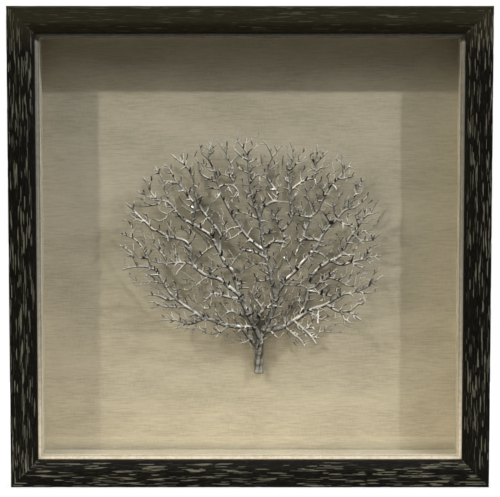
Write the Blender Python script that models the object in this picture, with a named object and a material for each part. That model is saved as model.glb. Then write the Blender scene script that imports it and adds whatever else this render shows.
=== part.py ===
"""Framed fan coral: a branching coral fixed on linen in a glazed box frame.

Metres, +Z up. The front of the frame looks along -Y. The origin is under the
middle of the frame, on the surface that its bottom rail could stand on.
"""
import math

import bmesh
import bpy
from mathutils import Matrix, Vector

MM = 0.001

# Driving dimensions, in millimetres
FRAME_SIZE = 508.0
RAIL_DEPTH = 60.0
RAIL_WIDTH = 28.7
RAIL_WOOD = 22.0
LIP_DEPTH = 9.7
SLIP_SIGHT = 4.5
WALL_INNER = 31.6
GAP = 0.3
GLASS_THICKNESS = 2.0
SLIP_DEPTH = 5.0
RECESS = 39.5
PANEL_THICKNESS = 3.0
BACKING_THICKNESS = 2.5
WALL_STANDOFF = 3.0

# Depths behind the frame's front, in millimetres
SLIP_FRONT = LIP_DEPTH + GAP
GLASS_FRONT = SLIP_FRONT + SLIP_DEPTH + GAP
WALL_FRONT = GLASS_FRONT + GLASS_THICKNESS + GAP
PANEL_FRONT = SLIP_FRONT + 0.8 + RECESS
WALL_BACK = PANEL_FRONT - GAP
BACKING_FRONT = PANEL_FRONT + PANEL_THICKNESS + GAP
BACKING_BACK = BACKING_FRONT + BACKING_THICKNESS

FRONT_Y = -(RAIL_DEPTH + WALL_STANDOFF) / 2
HALF = FRAME_SIZE / 2
SIDES = ("bottom", "right", "top", "left")

# Coral: where its foot stands, how its sketch scales and how finely its limbs are drawn
FOOT_X = 9.0
FOOT_Z = 118.8
CORAL_SCALE = 1.02
STEP = 9.5
SIDES_BY_RADIUS = ((1.55, 5), (0.95, 4), (0.0, 3))
CLEARANCE = 0.45

# Colours, linear
WOOD = (0.022, 0.018, 0.011)
LEAF = (0.66, 0.62, 0.52)
LINEN = (0.42, 0.37, 0.27)
BOARD = (0.24, 0.15, 0.08)
STEEL = (0.55, 0.55, 0.53)
RUBBER = (0.04, 0.04, 0.04)
CLEAR = (0.95, 0.97, 0.96)
CORAL = (0.50, 0.49, 0.44)


# The coral's limbs. Each route is (radius at its root, radius at its tip, points), and a
# point is (right of the foot, above the foot, out from the panel). The first route is the
# limb and the others are the side branches that grow from it.
STEM = [
    (4.3, 3.3, [(-0.2, -2.8, 4.8), (0.5, 10, 5.0), (1.3, 20, 5.6), (2.0, 30, 6.6), (2.2, 37, 7.4)]),
]
LEFT = [
    (2.9, 2.2, [(1, 34, 7.1), (-2, 42, 7.6), (-4.8, 48, 8.2), (-7.5, 54, 8.8), (-10.2, 60, 9.4),
                (-13, 66, 9.8), (-16, 71.5, 10.2), (-19, 78, 10.7), (-21, 84, 11.2)]),
    (1.5, 0.7, [(-11.5, 59.5, 9.5), (-16.2, 60, 14), (-20.4, 60.8, 17), (-24.6, 63.3, 19),
                (-28, 65, 20), (-31.6, 64.7, 20.5), (-34.4, 67.5, 20)]),
    (1.0, 0.7, [(-30.5, 65.3, 20.3), (-34, 62.3, 22), (-38, 59, 24)]),
    (1.5, 0.8, [(-9.5, 58.5, 9.3), (-8.8, 60.5, 15), (-6, 63, 19), (-5, 65.5, 22)]),
    (1.0, 0.6, [(-8, 61.3, 16), (-9.5, 62, 18.5), (-11, 62.5, 21)]),
    (1.3, 0.7, [(-19, 79, 10.8), (-17, 81, 16), (-15, 84, 21)]),
    (1.1, 0.7, [(-18, 76, 10.5), (-16, 77, 15), (-13.5, 75.5, 19)]),
]
MIDDLE = [
    (2.0, 1.6, [(-4.5, 48, 8.2), (-2, 51.5, 10.5), (-0.3, 56, 13), (1.8, 61, 15), (5.4, 66.3, 16)]),
    (1.1, 0.7, [(5, 65.6, 16), (1.5, 71, 16.5), (-2, 75, 17), (-5, 79, 17.5), (-6, 86, 18.5)]),
    (1.1, 0.6, [(5, 65.6, 16), (9.5, 69, 16.8), (13, 71.5, 17.3), (17, 74.5, 18)]),
    (1.3, 0.9, [(0.5, 58, 13.5), (-0.5, 60, 18), (-0.2, 62, 22)]),
]
LOW_LEFT = [
    (2.4, 1.8, [(0, 23, 5.8), (-4, 28, 7.2), (-7.3, 32.5, 8.4), (-10.8, 38, 9.6), (-14.5, 43, 10.8),
                (-18.5, 46.8, 11.8), (-25, 48.4, 12.8), (-31, 49, 13.6), (-38, 50.6, 14.4),
                (-44, 53, 15), (-51, 55.8, 15.6), (-58, 57.4, 16)]),
    (1.3, 0.7, [(-18.5, 46.8, 11.8), (-13.5, 48.3, 15), (-8, 48.8, 18)]),
    (0.9, 0.5, [(-21, 47.5, 12.3), (-22.5, 51, 14), (-23, 55, 16)]),
    (1.0, 0.6, [(-8.5, 34.5, 8.9), (-13, 32, 12), (-20, 30, 15)]),
    (1.2, 0.7, [(-33, 49.4, 13.8), (-37, 54, 16), (-40.5, 58.5, 18), (-42, 62, 19), (-42.3, 65.5, 20)]),
    (1.1, 0.6, [(-29, 48.7, 13.5), (-35, 46, 16), (-40, 42.5, 18.5), (-44.5, 37, 21)]),
    (0.8, 0.5, [(-40, 42.5, 18.5), (-39.5, 43.3, 21), (-38.5, 43.5, 23)]),
    (1.4, 0.7, [(-55, 57, 15.9), (-62, 55, 18), (-67, 53, 20), (-73, 52, 22), (-79, 54, 23),
                (-85, 55.5, 24), (-90, 59.5, 25)]),
    (0.9, 0.5, [(-74.4, 52.3, 22.2), (-77, 56.5, 24), (-80, 59, 25)]),
    (0.8, 0.6, [(-77, 53.2, 22.7), (-78.8, 51.5, 24.5), (-80, 50.5, 26)]),
    (0.9, 0.5, [(-86, 55.8, 24.2), (-92, 56, 25), (-98, 56.5, 25.5), (-103, 56, 26)]),
    (1.1, 0.6, [(-56, 57.4, 16), (-58.5, 61.5, 18.5), (-57.8, 65.5, 19.5), (-56, 70, 20)]),
    (0.8, 0.5, [(-57, 68, 19.8), (-53, 68, 21), (-49.5, 68.7, 22)]),
]
FAR_LEFT = [
    (1.8, 0.8, [(-57, 57.2, 16), (-62.5, 60, 16.2), (-67.4, 64.2, 16.6), (-72.5, 67.5, 17),
                (-78, 71, 17.4), (-82.5, 75, 17.6), (-88, 79.3, 17.8), (-92, 83.5, 18),
                (-96, 89, 18.2), (-99.8, 95, 18.4), (-103.8, 102.5, 18.5), (-108, 107.8, 18.5),
                (-112.5, 109.8, 18.4), (-118.5, 111.3, 18.2), (-126, 112, 18), (-133, 111, 17.8),
                (-143, 108.5, 17.5)]),
    (1.2, 0.5, [(-112, 109.6, 18.4), (-113.5, 115, 19), (-116, 122, 19.5), (-118.5, 127, 20),
                (-121, 131, 20), (-125, 136.3, 20), (-129.5, 141, 19.5), (-135, 143.5, 19),
                (-146, 148, 18)]),
    (0.8, 0.5, [(-119.5, 129.5, 20), (-117.8, 133, 22), (-117, 136, 23)]),
    (1.0, 0.5, [(-126.5, 112, 18), (-128.3, 116.2, 19), (-131, 121, 20), (-133, 126, 20.5),
                (-135.3, 128.8, 20.5), (-139.5, 131.3, 20), (-146, 135, 19)]),
    (0.7, 0.5, [(-132, 123.5, 20.2), (-135, 124.5, 21), (-138, 126, 21.5)]),
    (1.3, 0.6, [(-87, 78.4, 17.8), (-91, 77.2, 18.5), (-95, 77, 19.5), (-98.5, 78.2, 20.5),
                (-102, 80.5, 21.5), (-106, 82, 22), (-111, 82.4, 22.5), (-115, 82.5, 23),
                (-120, 80.3, 24)]),
    (1.0, 0.5, [(-75, 69, 17.2), (-81, 69, 18), (-87, 68.8, 19), (-93, 69.5, 20), (-97, 69, 20.5),
                (-99.5, 66.2, 21)]),
    (0.8, 0.5, [(-95, 69.3, 20.3), (-100.5, 70.3, 21), (-106.6, 73.6, 22), (-110, 77.7, 23)]),
    (0.7, 0.5, [(-93, 69.5, 20), (-96, 72.5, 21.5), (-98.5, 74.5, 23)]),
    (0.9, 0.5, [(-99.5, 94.7, 18.4), (-105, 94.8, 19.5), (-109.4, 91.7, 21)]),
    (0.8, 0.5, [(-104, 94.8, 19.3), (-111, 96.3, 20.5), (-117, 96.2, 21.5), (-124, 95.8, 22)]),
    (1.0, 0.5, [(-88, 79.5, 17.8), (-84.5, 84.5, 16.5), (-85, 89.5, 15.5), (-87.5, 93, 15)]),
    (0.8, 0.5, [(-112, 109.6, 18.4), (-116, 108.3, 20.5), (-118.5, 107.6, 22)]),
    (0.9, 0.6, [(-99, 94, 18.4), (-97, 96.5, 21), (-96, 101.5, 24)]),
]
LEFT_INNER = [
    (1.7, 0.8, [(-18.3, 76, 10.5), (-22.5, 77.5, 12), (-27, 78, 13.5), (-32, 79.3, 15), (-37, 81, 17),
                (-42, 83, 19), (-47, 83.8, 21), (-50.5, 81.8, 23), (-53.5, 78.8, 25),
                (-57, 75, 26.5)]),
    (0.8, 0.5, [(-53.5, 78.8, 25), (-56.5, 79.5, 26.5), (-59, 81.5, 27.5)]),
    (0.9, 0.6, [(-38, 81.4, 17.4), (-36.8, 84, 20), (-37, 86.5, 23)]),
    (0.8, 0.5, [(-46, 83.7, 20.6), (-45, 81, 23), (-44, 79, 25)]),
]
MID_LEFT = [
    (2.1, 1.5, [(-20.5, 82, 11.2), (-24.5, 85, 11.4), (-28.5, 87.8, 11.6), (-33, 92, 11.9),
                (-38, 96, 12.2), (-42.5, 98.7, 12.5), (-47, 99.8, 12.8), (-52, 101, 13),
                (-57, 103.2, 13.3), (-61, 105.7, 13.6), (-65, 109, 13.9), (-69.5, 114.5, 14.2)]),
    (1.3, 0.6, [(-68.5, 113.3, 14.2), (-74, 115.6, 14.8), (-80, 115.8, 15.4), (-86, 115.8, 16),
                (-92, 115.6, 16.5), (-98, 114.8, 17), (-102, 115, 17.3), (-106, 116.5, 17.6),
                (-112, 118, 18)]),
    (1.1, 0.6, [(-75.8, 115.7, 15), (-80.7, 110.6, 17.5), (-84, 107, 19.5), (-86.6, 103, 21.5)]),
    (1.0, 0.5, [(-95.4, 115.3, 16.8), (-97, 119, 17.5), (-99.5, 123, 18), (-102, 127, 18.5),
                (-106.5, 132.3, 19), (-110.5, 137, 19.5)]),
    (0.8, 0.5, [(-100.5, 124.5, 18.2), (-99.3, 128, 19), (-98.8, 132, 20)]),
    (0.8, 0.5, [(-85, 115.8, 16), (-87.5, 113, 18), (-88.5, 110.5, 19.5)]),
    (1.2, 0.6, [(-68.5, 113.3, 14.2), (-65.5, 118.5, 15.5), (-60, 123.5, 17), (-56, 127, 18),
                (-51.5, 131, 19), (-47, 133.8, 20)]),
    (0.9, 0.5, [(-52, 101, 13), (-57, 98.5, 15.5), (-61.5, 95.5, 17.5), (-66, 91, 19)]),
]
HIGH_LEFT = [
    (1.6, 0.8, [(-69, 113.8, 14.2), (-71, 121, 14.6), (-70.3, 127.5, 15), (-72.3, 133.4, 15.4),
                (-75.8, 137.5, 15.8), (-80, 140, 16.2), (-85.6, 141.4, 16.6), (-90.5, 142.3, 17),
                (-95.5, 143.3, 17.4), (-100, 146.3, 17.8), (-104.5, 149, 18.2), (-108.5, 150, 18.5),
                (-111.5, 152, 18.7), (-115.5, 156.2, 19), (-120, 160, 19.3), (-124, 164, 19.6),
                (-128.5, 169, 19.8), (-133, 173.5, 20), (-139, 179, 20)]),
    (0.9, 0.5, [(-73.5, 135, 15.6), (-71.3, 136.5, 18), (-69.5, 139, 20.5)]),
    (0.9, 0.6, [(-95.5, 143.3, 17.4), (-94.8, 140.5, 20), (-94.2, 138.3, 22.5)]),
    (0.9, 0.5, [(-119, 159.3, 19.2), (-123.5, 160, 20.8), (-128, 161.8, 22), (-132.5, 165.3, 23)]),
    (0.8, 0.5, [(-127.5, 167.8, 19.8), (-130.8, 168.3, 21.5), (-133, 170, 23)]),
    (0.7, 0.4, [(-117, 157.5, 19.1), (-117, 161, 18), (-116.5, 165, 17)]),
]
UPPER_LEFT = [
    (2.0, 1.6, [(-20.8, 82.5, 11.1), (-22, 88, 11.2), (-23.3, 94, 11), (-25.2, 100, 10.9),
                (-27.3, 105.6, 10.9), (-30.5, 110.3, 10.9), (-33.6, 114, 11), (-36.4, 118, 11.1),
                (-39, 122.5, 11.2), (-40.8, 127, 11.3), (-43.5, 132, 11.6), (-46.2, 137, 11.9),
                (-48.5, 142, 12.3), (-52, 145.5, 12.7), (-56, 148.3, 13), (-61, 151.4, 13.3),
                (-66, 154.7, 13.7), (-71, 157.3, 14.1)]),
    (0.9, 0.6, [(-22.6, 91, 11.1), (-18, 93, 14), (-13.5, 94.7, 17)]),
    (0.9, 0.6, [(-22, 88, 11.2), (-16, 89, 15), (-9.5, 89.5, 19)]),
    (1.3, 0.6, [(-30.5, 110.3, 10.9), (-35, 110.8, 12), (-40, 110.4, 13.5), (-44.5, 108.7, 15.5),
                (-49, 105.5, 17.5), (-53, 102.3, 19.5)]),
    (0.8, 0.5, [(-50, 104.6, 18), (-49.5, 108, 20), (-47.5, 111, 21.5)]),
    (1.3, 0.7, [(-39, 122.5, 11.2), (-38.3, 126, 14), (-38, 130, 17.5)]),
    (0.8, 0.5, [(-39.5, 123.3, 11.3), (-43, 124.3, 14), (-47.5, 123.8, 17)]),
    (1.0, 0.6, [(-68.5, 156, 13.9), (-70, 151, 13), (-71.5, 145.5, 12), (-73.2, 140, 11)]),
]
FAR_UPPER_LEFT = [
    (1.5, 0.6, [(-70, 156.8, 14), (-76.5, 160.2, 14.5), (-80.7, 162.5, 14.9), (-84.2, 167, 15.3),
                (-87, 171, 15.7), (-90.3, 175.5, 16.1), (-94.3, 179, 16.5), (-98, 180.4, 17),
                (-102, 180.8, 17.5), (-106.6, 181.8, 17.8), (-110, 183.7, 18), (-115, 184.8, 18.3),
                (-119, 187.8, 18.6), (-123, 188.8, 18.8), (-127.5, 192.5, 19)]),
    (1.0, 0.5, [(-106, 181.7, 17.8), (-111, 188, 18.2), (-114.3, 194.3, 18.5), (-117, 200, 18.5),
                (-120.3, 206.5, 18)]),
    (0.7, 0.5, [(-113.8, 193.5, 18.4), (-113.5, 197, 20), (-112.5, 201, 21.5)]),
    (1.0, 0.5, [(-101, 180.8, 17.4), (-106.6, 177.2, 18.5), (-112, 176, 19.5), (-118, 175, 20.5),
                (-124, 175, 21), (-129, 176.5, 21.5)]),
    (0.7, 0.5, [(-111, 176.2, 19.3), (-115, 178, 21), (-119, 178.5, 22)]),
    (0.9, 0.5, [(-94, 178.8, 16.5), (-95, 186, 17), (-98.2, 192.8, 17.5), (-101.5, 196.5, 18)]),
    (0.7, 0.5, [(-117, 186.3, 18.5), (-119.5, 190.5, 20), (-122.5, 194.5, 21)]),
    (1.0, 0.6, [(-88, 172.3, 15.8), (-92.6, 169, 17.5), (-94.7, 165.5, 19), (-97.5, 161.5, 20.5)]),
    (0.8, 0.5, [(-94, 167, 18.3), (-98, 168.3, 20), (-102, 169.8, 21.5)]),
    (0.8, 0.5, [(-96.5, 163, 20), (-102, 160, 22), (-107, 161, 23.5)]),
    (0.7, 0.4, [(-97.5, 180.3, 16.9), (-97, 177, 18.5), (-95.5, 173, 20)]),
]
LEFT_CROWN = [
    (1.6, 0.7, [(-68.3, 155.8, 13.9), (-68.6, 161, 15.5), (-67.8, 167, 17), (-66.3, 172.5, 18),
                (-67.2, 177.5, 18.5), (-70.5, 182, 18.8), (-74, 186.5, 19), (-77.2, 191.4, 19),
                (-81, 196, 18.8), (-85, 199.7, 18.5), (-88.3, 206, 18.3), (-92.6, 213.5, 18),
                (-99, 219.3, 17.5)]),
    (1.0, 0.6, [(-74, 186.6, 19), (-71.5, 191, 20.5), (-68, 193.5, 22)]),
    (0.9, 0.6, [(-77, 191, 19), (-81, 191.2, 21), (-85, 190.8, 23)]),
    (1.0, 0.5, [(-84, 199, 18.6), (-92, 201, 19), (-99.5, 202.2, 19.5), (-101.5, 206.5, 19.5),
                (-105, 211.7, 19.5), (-108, 217, 19)]),
    (0.6, 0.45, [(-104, 210.5, 19.5), (-106.5, 209.5, 20.5), (-108.5, 208.8, 21.5)]),
    (0.7, 0.4, [(-92.6, 213.5, 18), (-91.5, 217, 19), (-92, 220, 20)]),
]
INNER_LEFT = [
    (1.7, 0.7, [(-41, 127.5, 11.3), (-40.3, 133.5, 9.2), (-39.8, 139.5, 8.1), (-41, 146.5, 7.7),
                (-45.5, 153, 7.6), (-50.5, 159, 7.8), (-54.7, 163.9, 8.2), (-58, 168.5, 8.7),
                (-61, 173.3, 9.2), (-63.3, 178.7, 9.6), (-65, 184.3, 10), (-66.7, 190.5, 10.5),
                (-67, 197, 11.2), (-68, 202, 12), (-69.5, 206.5, 12.8), (-72.3, 211.7, 13.6),
                (-75.3, 216.6, 14.4), (-79.3, 220.3, 15), (-84, 223.5, 15.5), (-91, 229.5, 16)]),
    (1.0, 0.6, [(-54, 163, 8.1), (-56.5, 159.5, 12), (-58.5, 155.5, 17)]),
    (0.8, 0.5, [(-64.2, 181.5, 9.8), (-62, 183.5, 11.5), (-59.8, 185.5, 13)]),
    (0.9, 0.5, [(-67, 196, 11.1), (-64, 195.5, 13), (-61.5, 192.5, 15)]),
    (0.6, 0.45, [(-75.8, 217, 14.5), (-79, 214.5, 16), (-82, 213, 17)]),
]
TRUNK = [
    (2.9, 2.4, [(3, 34, 7.1), (5.2, 41, 7.8), (8, 48, 8.4), (11.5, 56, 9), (14.6, 63, 9.4),
                (17, 70, 9.8), (18.3, 76, 10), (18.5, 81, 10.2)]),
    (1.2, 0.6, [(4.6, 39.5, 7.6), (6.4, 43, 12), (9, 48, 15), (11, 54, 17)]),
    (0.9, 0.5, [(16, 67, 9.6), (21, 69.5, 8), (26.5, 72, 7)]),
    (1.0, 0.6, [(11.5, 56, 9), (15, 56.5, 13), (18.5, 58.5, 16), (22.5, 61.5, 18)]),
]
CENTRE = [
    (2.1, 1.5, [(18.4, 79.5, 10.1), (16.7, 85, 10.1), (15.5, 90, 10), (14.5, 95.5, 10),
                (13.3, 101.5, 10), (12, 107, 10), (10.3, 112, 10), (8.5, 117.5, 10),
                (7.6, 123, 10.1), (6.3, 129.4, 10.3), (5, 136.4, 10.6), (4.2, 143.4, 10.9),
                (3.4, 150, 11.2), (2.6, 156.5, 11.6), (1.4, 163, 12)]),
    (1.4, 0.6, [(8, 120.5, 10), (4, 122.8, 12), (0, 125.2, 14), (-5.5, 127.5, 16), (-11, 128.5, 18),
                (-16, 128.7, 19.5), (-19, 126, 20.5), (-22.5, 121.8, 21.5), (-26.5, 117, 22),
                (-29.3, 112.3, 22.5)]),
    (0.9, 0.5, [(-16, 128.7, 19.5), (-19, 131, 21.5), (-20.3, 135.3, 23)]),
    (0.9, 0.6, [(-14, 128.7, 19), (-12, 131, 22), (-10.8, 132.5, 24.5)]),
    (1.1, 0.5, [(10.3, 112, 10), (6.3, 114, 11.5), (2, 114.6, 13), (-3.5, 114, 14.5),
                (-7, 115.4, 15.5), (-9.8, 119.6, 16.5), (-12.6, 121.7, 17.5)]),
    (0.9, 0.5, [(-4.5, 114.2, 14.8), (-9.8, 110.7, 17), (-14.7, 108.4, 19), (-18.5, 104.8, 21)]),
    (0.7, 0.5, [(-14, 108.7, 18.8), (-14.6, 112, 20.5), (-14.7, 115.3, 22)]),
    (0.8, 0.6, [(2.5, 114.6, 12.8), (3, 112.5, 15.5), (3.5, 111, 18)]),
    (1.1, 0.5, [(13.6, 99, 10), (9, 97.5, 12), (4, 96, 14), (0, 96.5, 15.5), (-5, 95, 17.5)]),
    (0.8, 0.5, [(0.5, 96.4, 15.3), (-1.5, 99.5, 17), (-3, 102, 19)]),
    (1.0, 0.5, [(13, 103, 10), (15.5, 107.5, 11.5), (17.5, 112, 12.5), (19, 116, 13.5)]),
    (1.0, 0.5, [(4, 145.5, 11), (9, 146.2, 13), (14, 147.2, 15), (20, 148, 17)]),
    (0.8, 0.5, [(11, 146.6, 13.8), (12, 150, 17), (10.5, 152.8, 19.5)]),
    (0.9, 0.6, [(3.3, 150.5, 11.2), (0, 152, 14.5), (-3.5, 153.5, 18)]),
    (1.1, 0.6, [(1.8, 161, 11.9), (-3, 162.5, 13), (-8, 164.8, 14.5), (-13.5, 167, 16),
                (-19, 169.5, 17.5), (-21.8, 171.3, 19)]),
    (0.8, 0.5, [(-18.5, 169.3, 17.3), (-22, 173.5, 19), (-24.5, 176, 20)]),
    (0.8, 0.5, [(2.4, 158, 11.7), (6, 159.8, 13.5), (9.5, 157.5, 15)]),
]
CROWN = [
    (1.6, 0.6, [(1.6, 162, 12), (-0.8, 168, 12.3), (-3.2, 174, 12.7), (-5, 180, 13.1),
                (-6.8, 187, 13.5), (-8, 193, 13.9), (-8.9, 199, 14.3), (-9.6, 205, 14.7),
                (-10.1, 211, 15.1), (-10.4, 217, 15.5), (-10.4, 223, 16), (-11, 228, 16.5),
                (-13.5, 233, 17), (-17.5, 238, 17.4), (-20.8, 243.3, 17.7), (-21.8, 248.5, 17.9),
                (-22.2, 253.3, 18)]),
    (1.1, 0.6, [(-8.9, 199.5, 14.3), (-6.8, 202.5, 15.5), (-4, 205.5, 16.5), (0, 208.3, 17.3),
                (4.3, 206.5, 18), (8.5, 203.3, 18.5)]),
    (1.1, 0.5, [(-10.4, 222.5, 16), (-13, 224.3, 17.5), (-16.6, 226.3, 19), (-20, 229, 20.5),
                (-23.7, 233.3, 21.5), (-26.8, 237.5, 22)]),
    (0.9, 0.5, [(-10.1, 209.5, 15), (-14, 211.3, 14.5), (-18, 213, 14), (-22, 215.5, 13.5)]),
    (0.9, 0.5, [(-10.1, 211.5, 15.1), (-7.5, 213.5, 16.5), (-5.5, 217, 18)]),
    (0.8, 0.5, [(-8.5, 196.5, 14.1), (-13, 197.3, 12.8), (-17, 197.3, 11.5)]),
    (0.8, 0.6, [(-7, 187.5, 13.5), (-9.8, 186, 16.5), (-12.8, 183, 19.5)]),
]
TOP_LEFT = [
    (1.7, 1.2, [(6.7, 127.5, 10.2), (2.5, 130, 10.3), (-1, 132.5, 10.5), (-5, 136.3, 10.8),
                (-9.5, 140, 11), (-14, 145, 11.3), (-18, 150.5, 11.6), (-21.3, 155.5, 11.9),
                (-24, 160.5, 12.2), (-27.2, 165.5, 12.5), (-30.5, 170.8, 12.8), (-34, 178, 13.2),
                (-37.6, 185, 13.6), (-39.6, 191, 14), (-41, 196, 14.3)]),
    (1.2, 0.6, [(-20, 153.5, 11.8), (-25, 152.6, 13.5), (-30, 151, 15), (-34.5, 147.5, 16.5),
                (-38, 142.8, 18)]),
    (1.1, 0.6, [(-16.5, 148.5, 11.5), (-20.5, 146, 13), (-25, 143, 14), (-31, 140.2, 14.5),
                (-36, 139.3, 15)]),
    (0.9, 0.6, [(-9, 139.7, 11), (-11.5, 138.5, 14.5), (-14, 136.8, 18)]),
    (1.0, 0.5, [(-40.3, 193.3, 14.1), (-45, 193.4, 15), (-50, 193.7, 16), (-57, 193, 17)]),
    (1.1, 0.6, [(-40.6, 194.5, 14.3), (-38, 196.3, 15.3), (-34, 197.2, 16.3), (-28.5, 197.2, 17.3),
                (-24.3, 195, 18), (-21.8, 190.8, 18.7), (-20.4, 185, 19.3), (-20.2, 179, 19.8)]),
    (0.8, 0.5, [(-33, 197.2, 16.5), (-30.5, 192.5, 18), (-27, 187.8, 19.5)]),
    (0.8, 0.5, [(-39, 189.5, 13.9), (-41.5, 186, 16), (-44, 183, 18)]),
]
TOP_LEFT_TIP = [
    (1.3, 0.6, [(-40.6, 194.5, 14.3), (-43.3, 201.3, 14.6), (-44.9, 207.4, 15), (-46.2, 213, 15.4),
                (-48.9, 218, 15.8), (-51.2, 222.8, 16.2), (-54.7, 226.5, 16.6), (-58.8, 230, 17),
                (-59.8, 235, 17.5), (-61.5, 243, 18)]),
    (1.1, 0.5, [(-43.2, 201, 14.6), (-49.6, 202.6, 15.5), (-54.5, 205.3, 16.3), (-58.7, 208.3, 17),
                (-60.8, 212.3, 17.5), (-61.6, 218, 18), (-64, 223.5, 18.3), (-67, 228.5, 18.5)]),
    (0.9, 0.5, [(-44.3, 205, 14.8), (-39.4, 208.5, 16), (-33.5, 206.8, 17), (-28.5, 204.5, 18),
                (-24.5, 200, 20)]),
    (1.0, 0.5, [(-29.5, 205, 17.8), (-26.8, 209, 17.5), (-27, 214.5, 17), (-29, 220, 17),
                (-31.8, 225.5, 17), (-34.5, 232, 17.3), (-38.5, 237.3, 17.6), (-43.5, 245.5, 18)]),
    (0.7, 0.5, [(-34, 231, 17.2), (-33.3, 236.5, 18.8), (-32.8, 241, 20)]),
    (0.9, 0.5, [(-45.9, 211.5, 15.3), (-49.5, 212.3, 16.8), (-54, 214.5, 18)]),
    (0.9, 0.5, [(-51, 222.5, 16.2), (-51.8, 228, 17.5), (-51.4, 234, 18.5), (-54.5, 241, 19)]),
    (0.7, 0.5, [(-51.5, 233, 18.3), (-47, 237, 19.5), (-43.8, 240, 20.5)]),
    (0.7, 0.5, [(-51.6, 234.5, 18.5), (-48.8, 241, 17.8), (-46, 249.5, 17)]),
]
CENTRE_RIGHT = [
    (1.6, 1.2, [(6, 131.3, 10.4), (9.5, 133.3, 12), (13, 136.3, 13.5), (17, 138, 14.3),
                (21.5, 137.9, 14.6), (25.5, 137.8, 14.3), (26.8, 141, 13.8), (25.8, 145, 13.4),
                (25.3, 148.5, 13.1), (27.7, 151, 12.8), (31, 155, 12.5), (33.8, 159, 12.3),
                (35.3, 163.5, 12.2), (35, 168, 12.1), (34.2, 173, 12), (34, 178, 12),
                (33.2, 183, 12), (32, 188.5, 12.1)]),
    (1.1, 0.5, [(25.3, 148.5, 13.1), (22.5, 151.5, 14), (20, 157, 15), (18.5, 162.5, 15.5),
                (14.5, 167, 16.5), (12.5, 169, 17.5)]),
    (1.1, 0.6, [(25.5, 137.9, 14.3), (25.2, 133.5, 15), (24, 129.5, 16), (22.8, 126, 17)]),
    (1.2, 0.8, [(25.5, 137.9, 14.3), (27.5, 137, 18), (29, 136.5, 21.5)]),
    (1.1, 0.7, [(25.3, 148.5, 13.1), (25.8, 150.5, 17), (27, 151.5, 20)]),
    (0.9, 0.5, [(34, 178, 12), (36.3, 181.5, 13.5), (38.5, 184.5, 14.5), (40.7, 188.3, 15.5)]),
]
TOP_MIDDLE = [
    (1.3, 0.5, [(32.2, 187.5, 12.1), (31.4, 194, 12.2), (31, 200, 12.4), (31.2, 206, 12.7),
                (31.6, 212, 13), (33, 217.3, 13.5), (35.2, 221.5, 14), (37, 226, 14.5),
                (38.6, 232.5, 15)]),
    (0.9, 0.5, [(31.7, 212.5, 13), (35.5, 214.8, 14.5), (38.8, 218.4, 15.5), (41.6, 223.3, 16.3),
                (44.7, 227.5, 17)]),
    (0.6, 0.45, [(38.3, 217.8, 15.3), (42, 219.5, 17), (45.5, 220, 18)]),
    (0.8, 0.5, [(35, 221.2, 14), (33, 226, 15.5), (29.8, 230, 17)]),
    (0.8, 0.5, [(37, 226, 14.5), (36, 235, 15.5), (34.6, 239, 16), (32.3, 244, 16.5)]),
    (0.7, 0.5, [(31.3, 207, 12.8), (29.8, 210, 14.5), (28, 212, 16)]),
    (0.7, 0.5, [(31, 198.5, 12.4), (29.3, 201, 14), (27, 203, 15.5)]),
]
UPPER_MIDDLE = [
    (1.5, 0.6, [(1.2, 163.5, 12), (3.2, 170.5, 12.6), (7, 174.8, 13.2), (12, 178, 13.8),
                (17, 180.5, 14), (19.3, 185, 13.6), (18.8, 189.5, 13.2), (15.5, 195, 12.8),
                (12.3, 199.7, 12.5), (10.2, 204, 12.5), (10.2, 209, 13), (10.6, 214, 13.7),
                (10.6, 219, 14.4), (12.5, 223.3, 15), (15.5, 227.5, 15.5), (20, 232.8, 16),
                (25.8, 240.3, 16.5)]),
    (1.2, 0.6, [(16.5, 180.3, 14), (21, 180, 15.5), (25, 179.6, 16.8), (29.5, 179, 17.8),
                (33.5, 178.6, 18.5)]),
    (0.9, 0.5, [(16.2, 180.3, 14), (13, 184, 13), (9, 189.3, 12)]),
    (0.9, 0.5, [(14.5, 226.3, 15.3), (12.3, 232, 17), (9.3, 238.5, 18), (4.5, 244.3, 18.5)]),
]
TOP_RIGHT_INNER = [
    (1.3, 0.6, [(32.3, 187, 12.1), (34, 191.5, 12.8), (37.4, 194.3, 13.3), (42.3, 198.2, 13.8),
                (48, 201.7, 14.2), (53, 203.2, 14.6), (57.3, 203.8, 15), (59, 207, 15.3),
                (60, 212, 15.6), (60.3, 218, 16), (60.7, 225, 16.5), (61.2, 232, 17),
                (61.3, 240, 17.5)]),
    (0.9, 0.5, [(57, 203.8, 15), (59.3, 201, 16), (58.8, 196.5, 17), (56.7, 191.5, 18)]),
    (0.7, 0.5, [(59, 198.5, 16.6), (62.3, 199.5, 17.5), (65.7, 203.5, 18)]),
    (0.9, 0.5, [(60, 213, 15.7), (55, 212.8, 17), (50.3, 210.3, 18.5)]),
    (0.9, 0.5, [(60.3, 217.5, 16), (57, 222, 17.5), (54.6, 227, 18.5), (55.2, 235, 19)]),
    (0.9, 0.5, [(60.5, 221.5, 16.3), (65.5, 225.5, 17.8), (69, 229, 18.6), (72.8, 233, 19.3)]),
    (0.8, 0.5, [(59.9, 211.5, 15.6), (63.5, 213.5, 17.3), (67, 217.3, 19)]),
]
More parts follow.
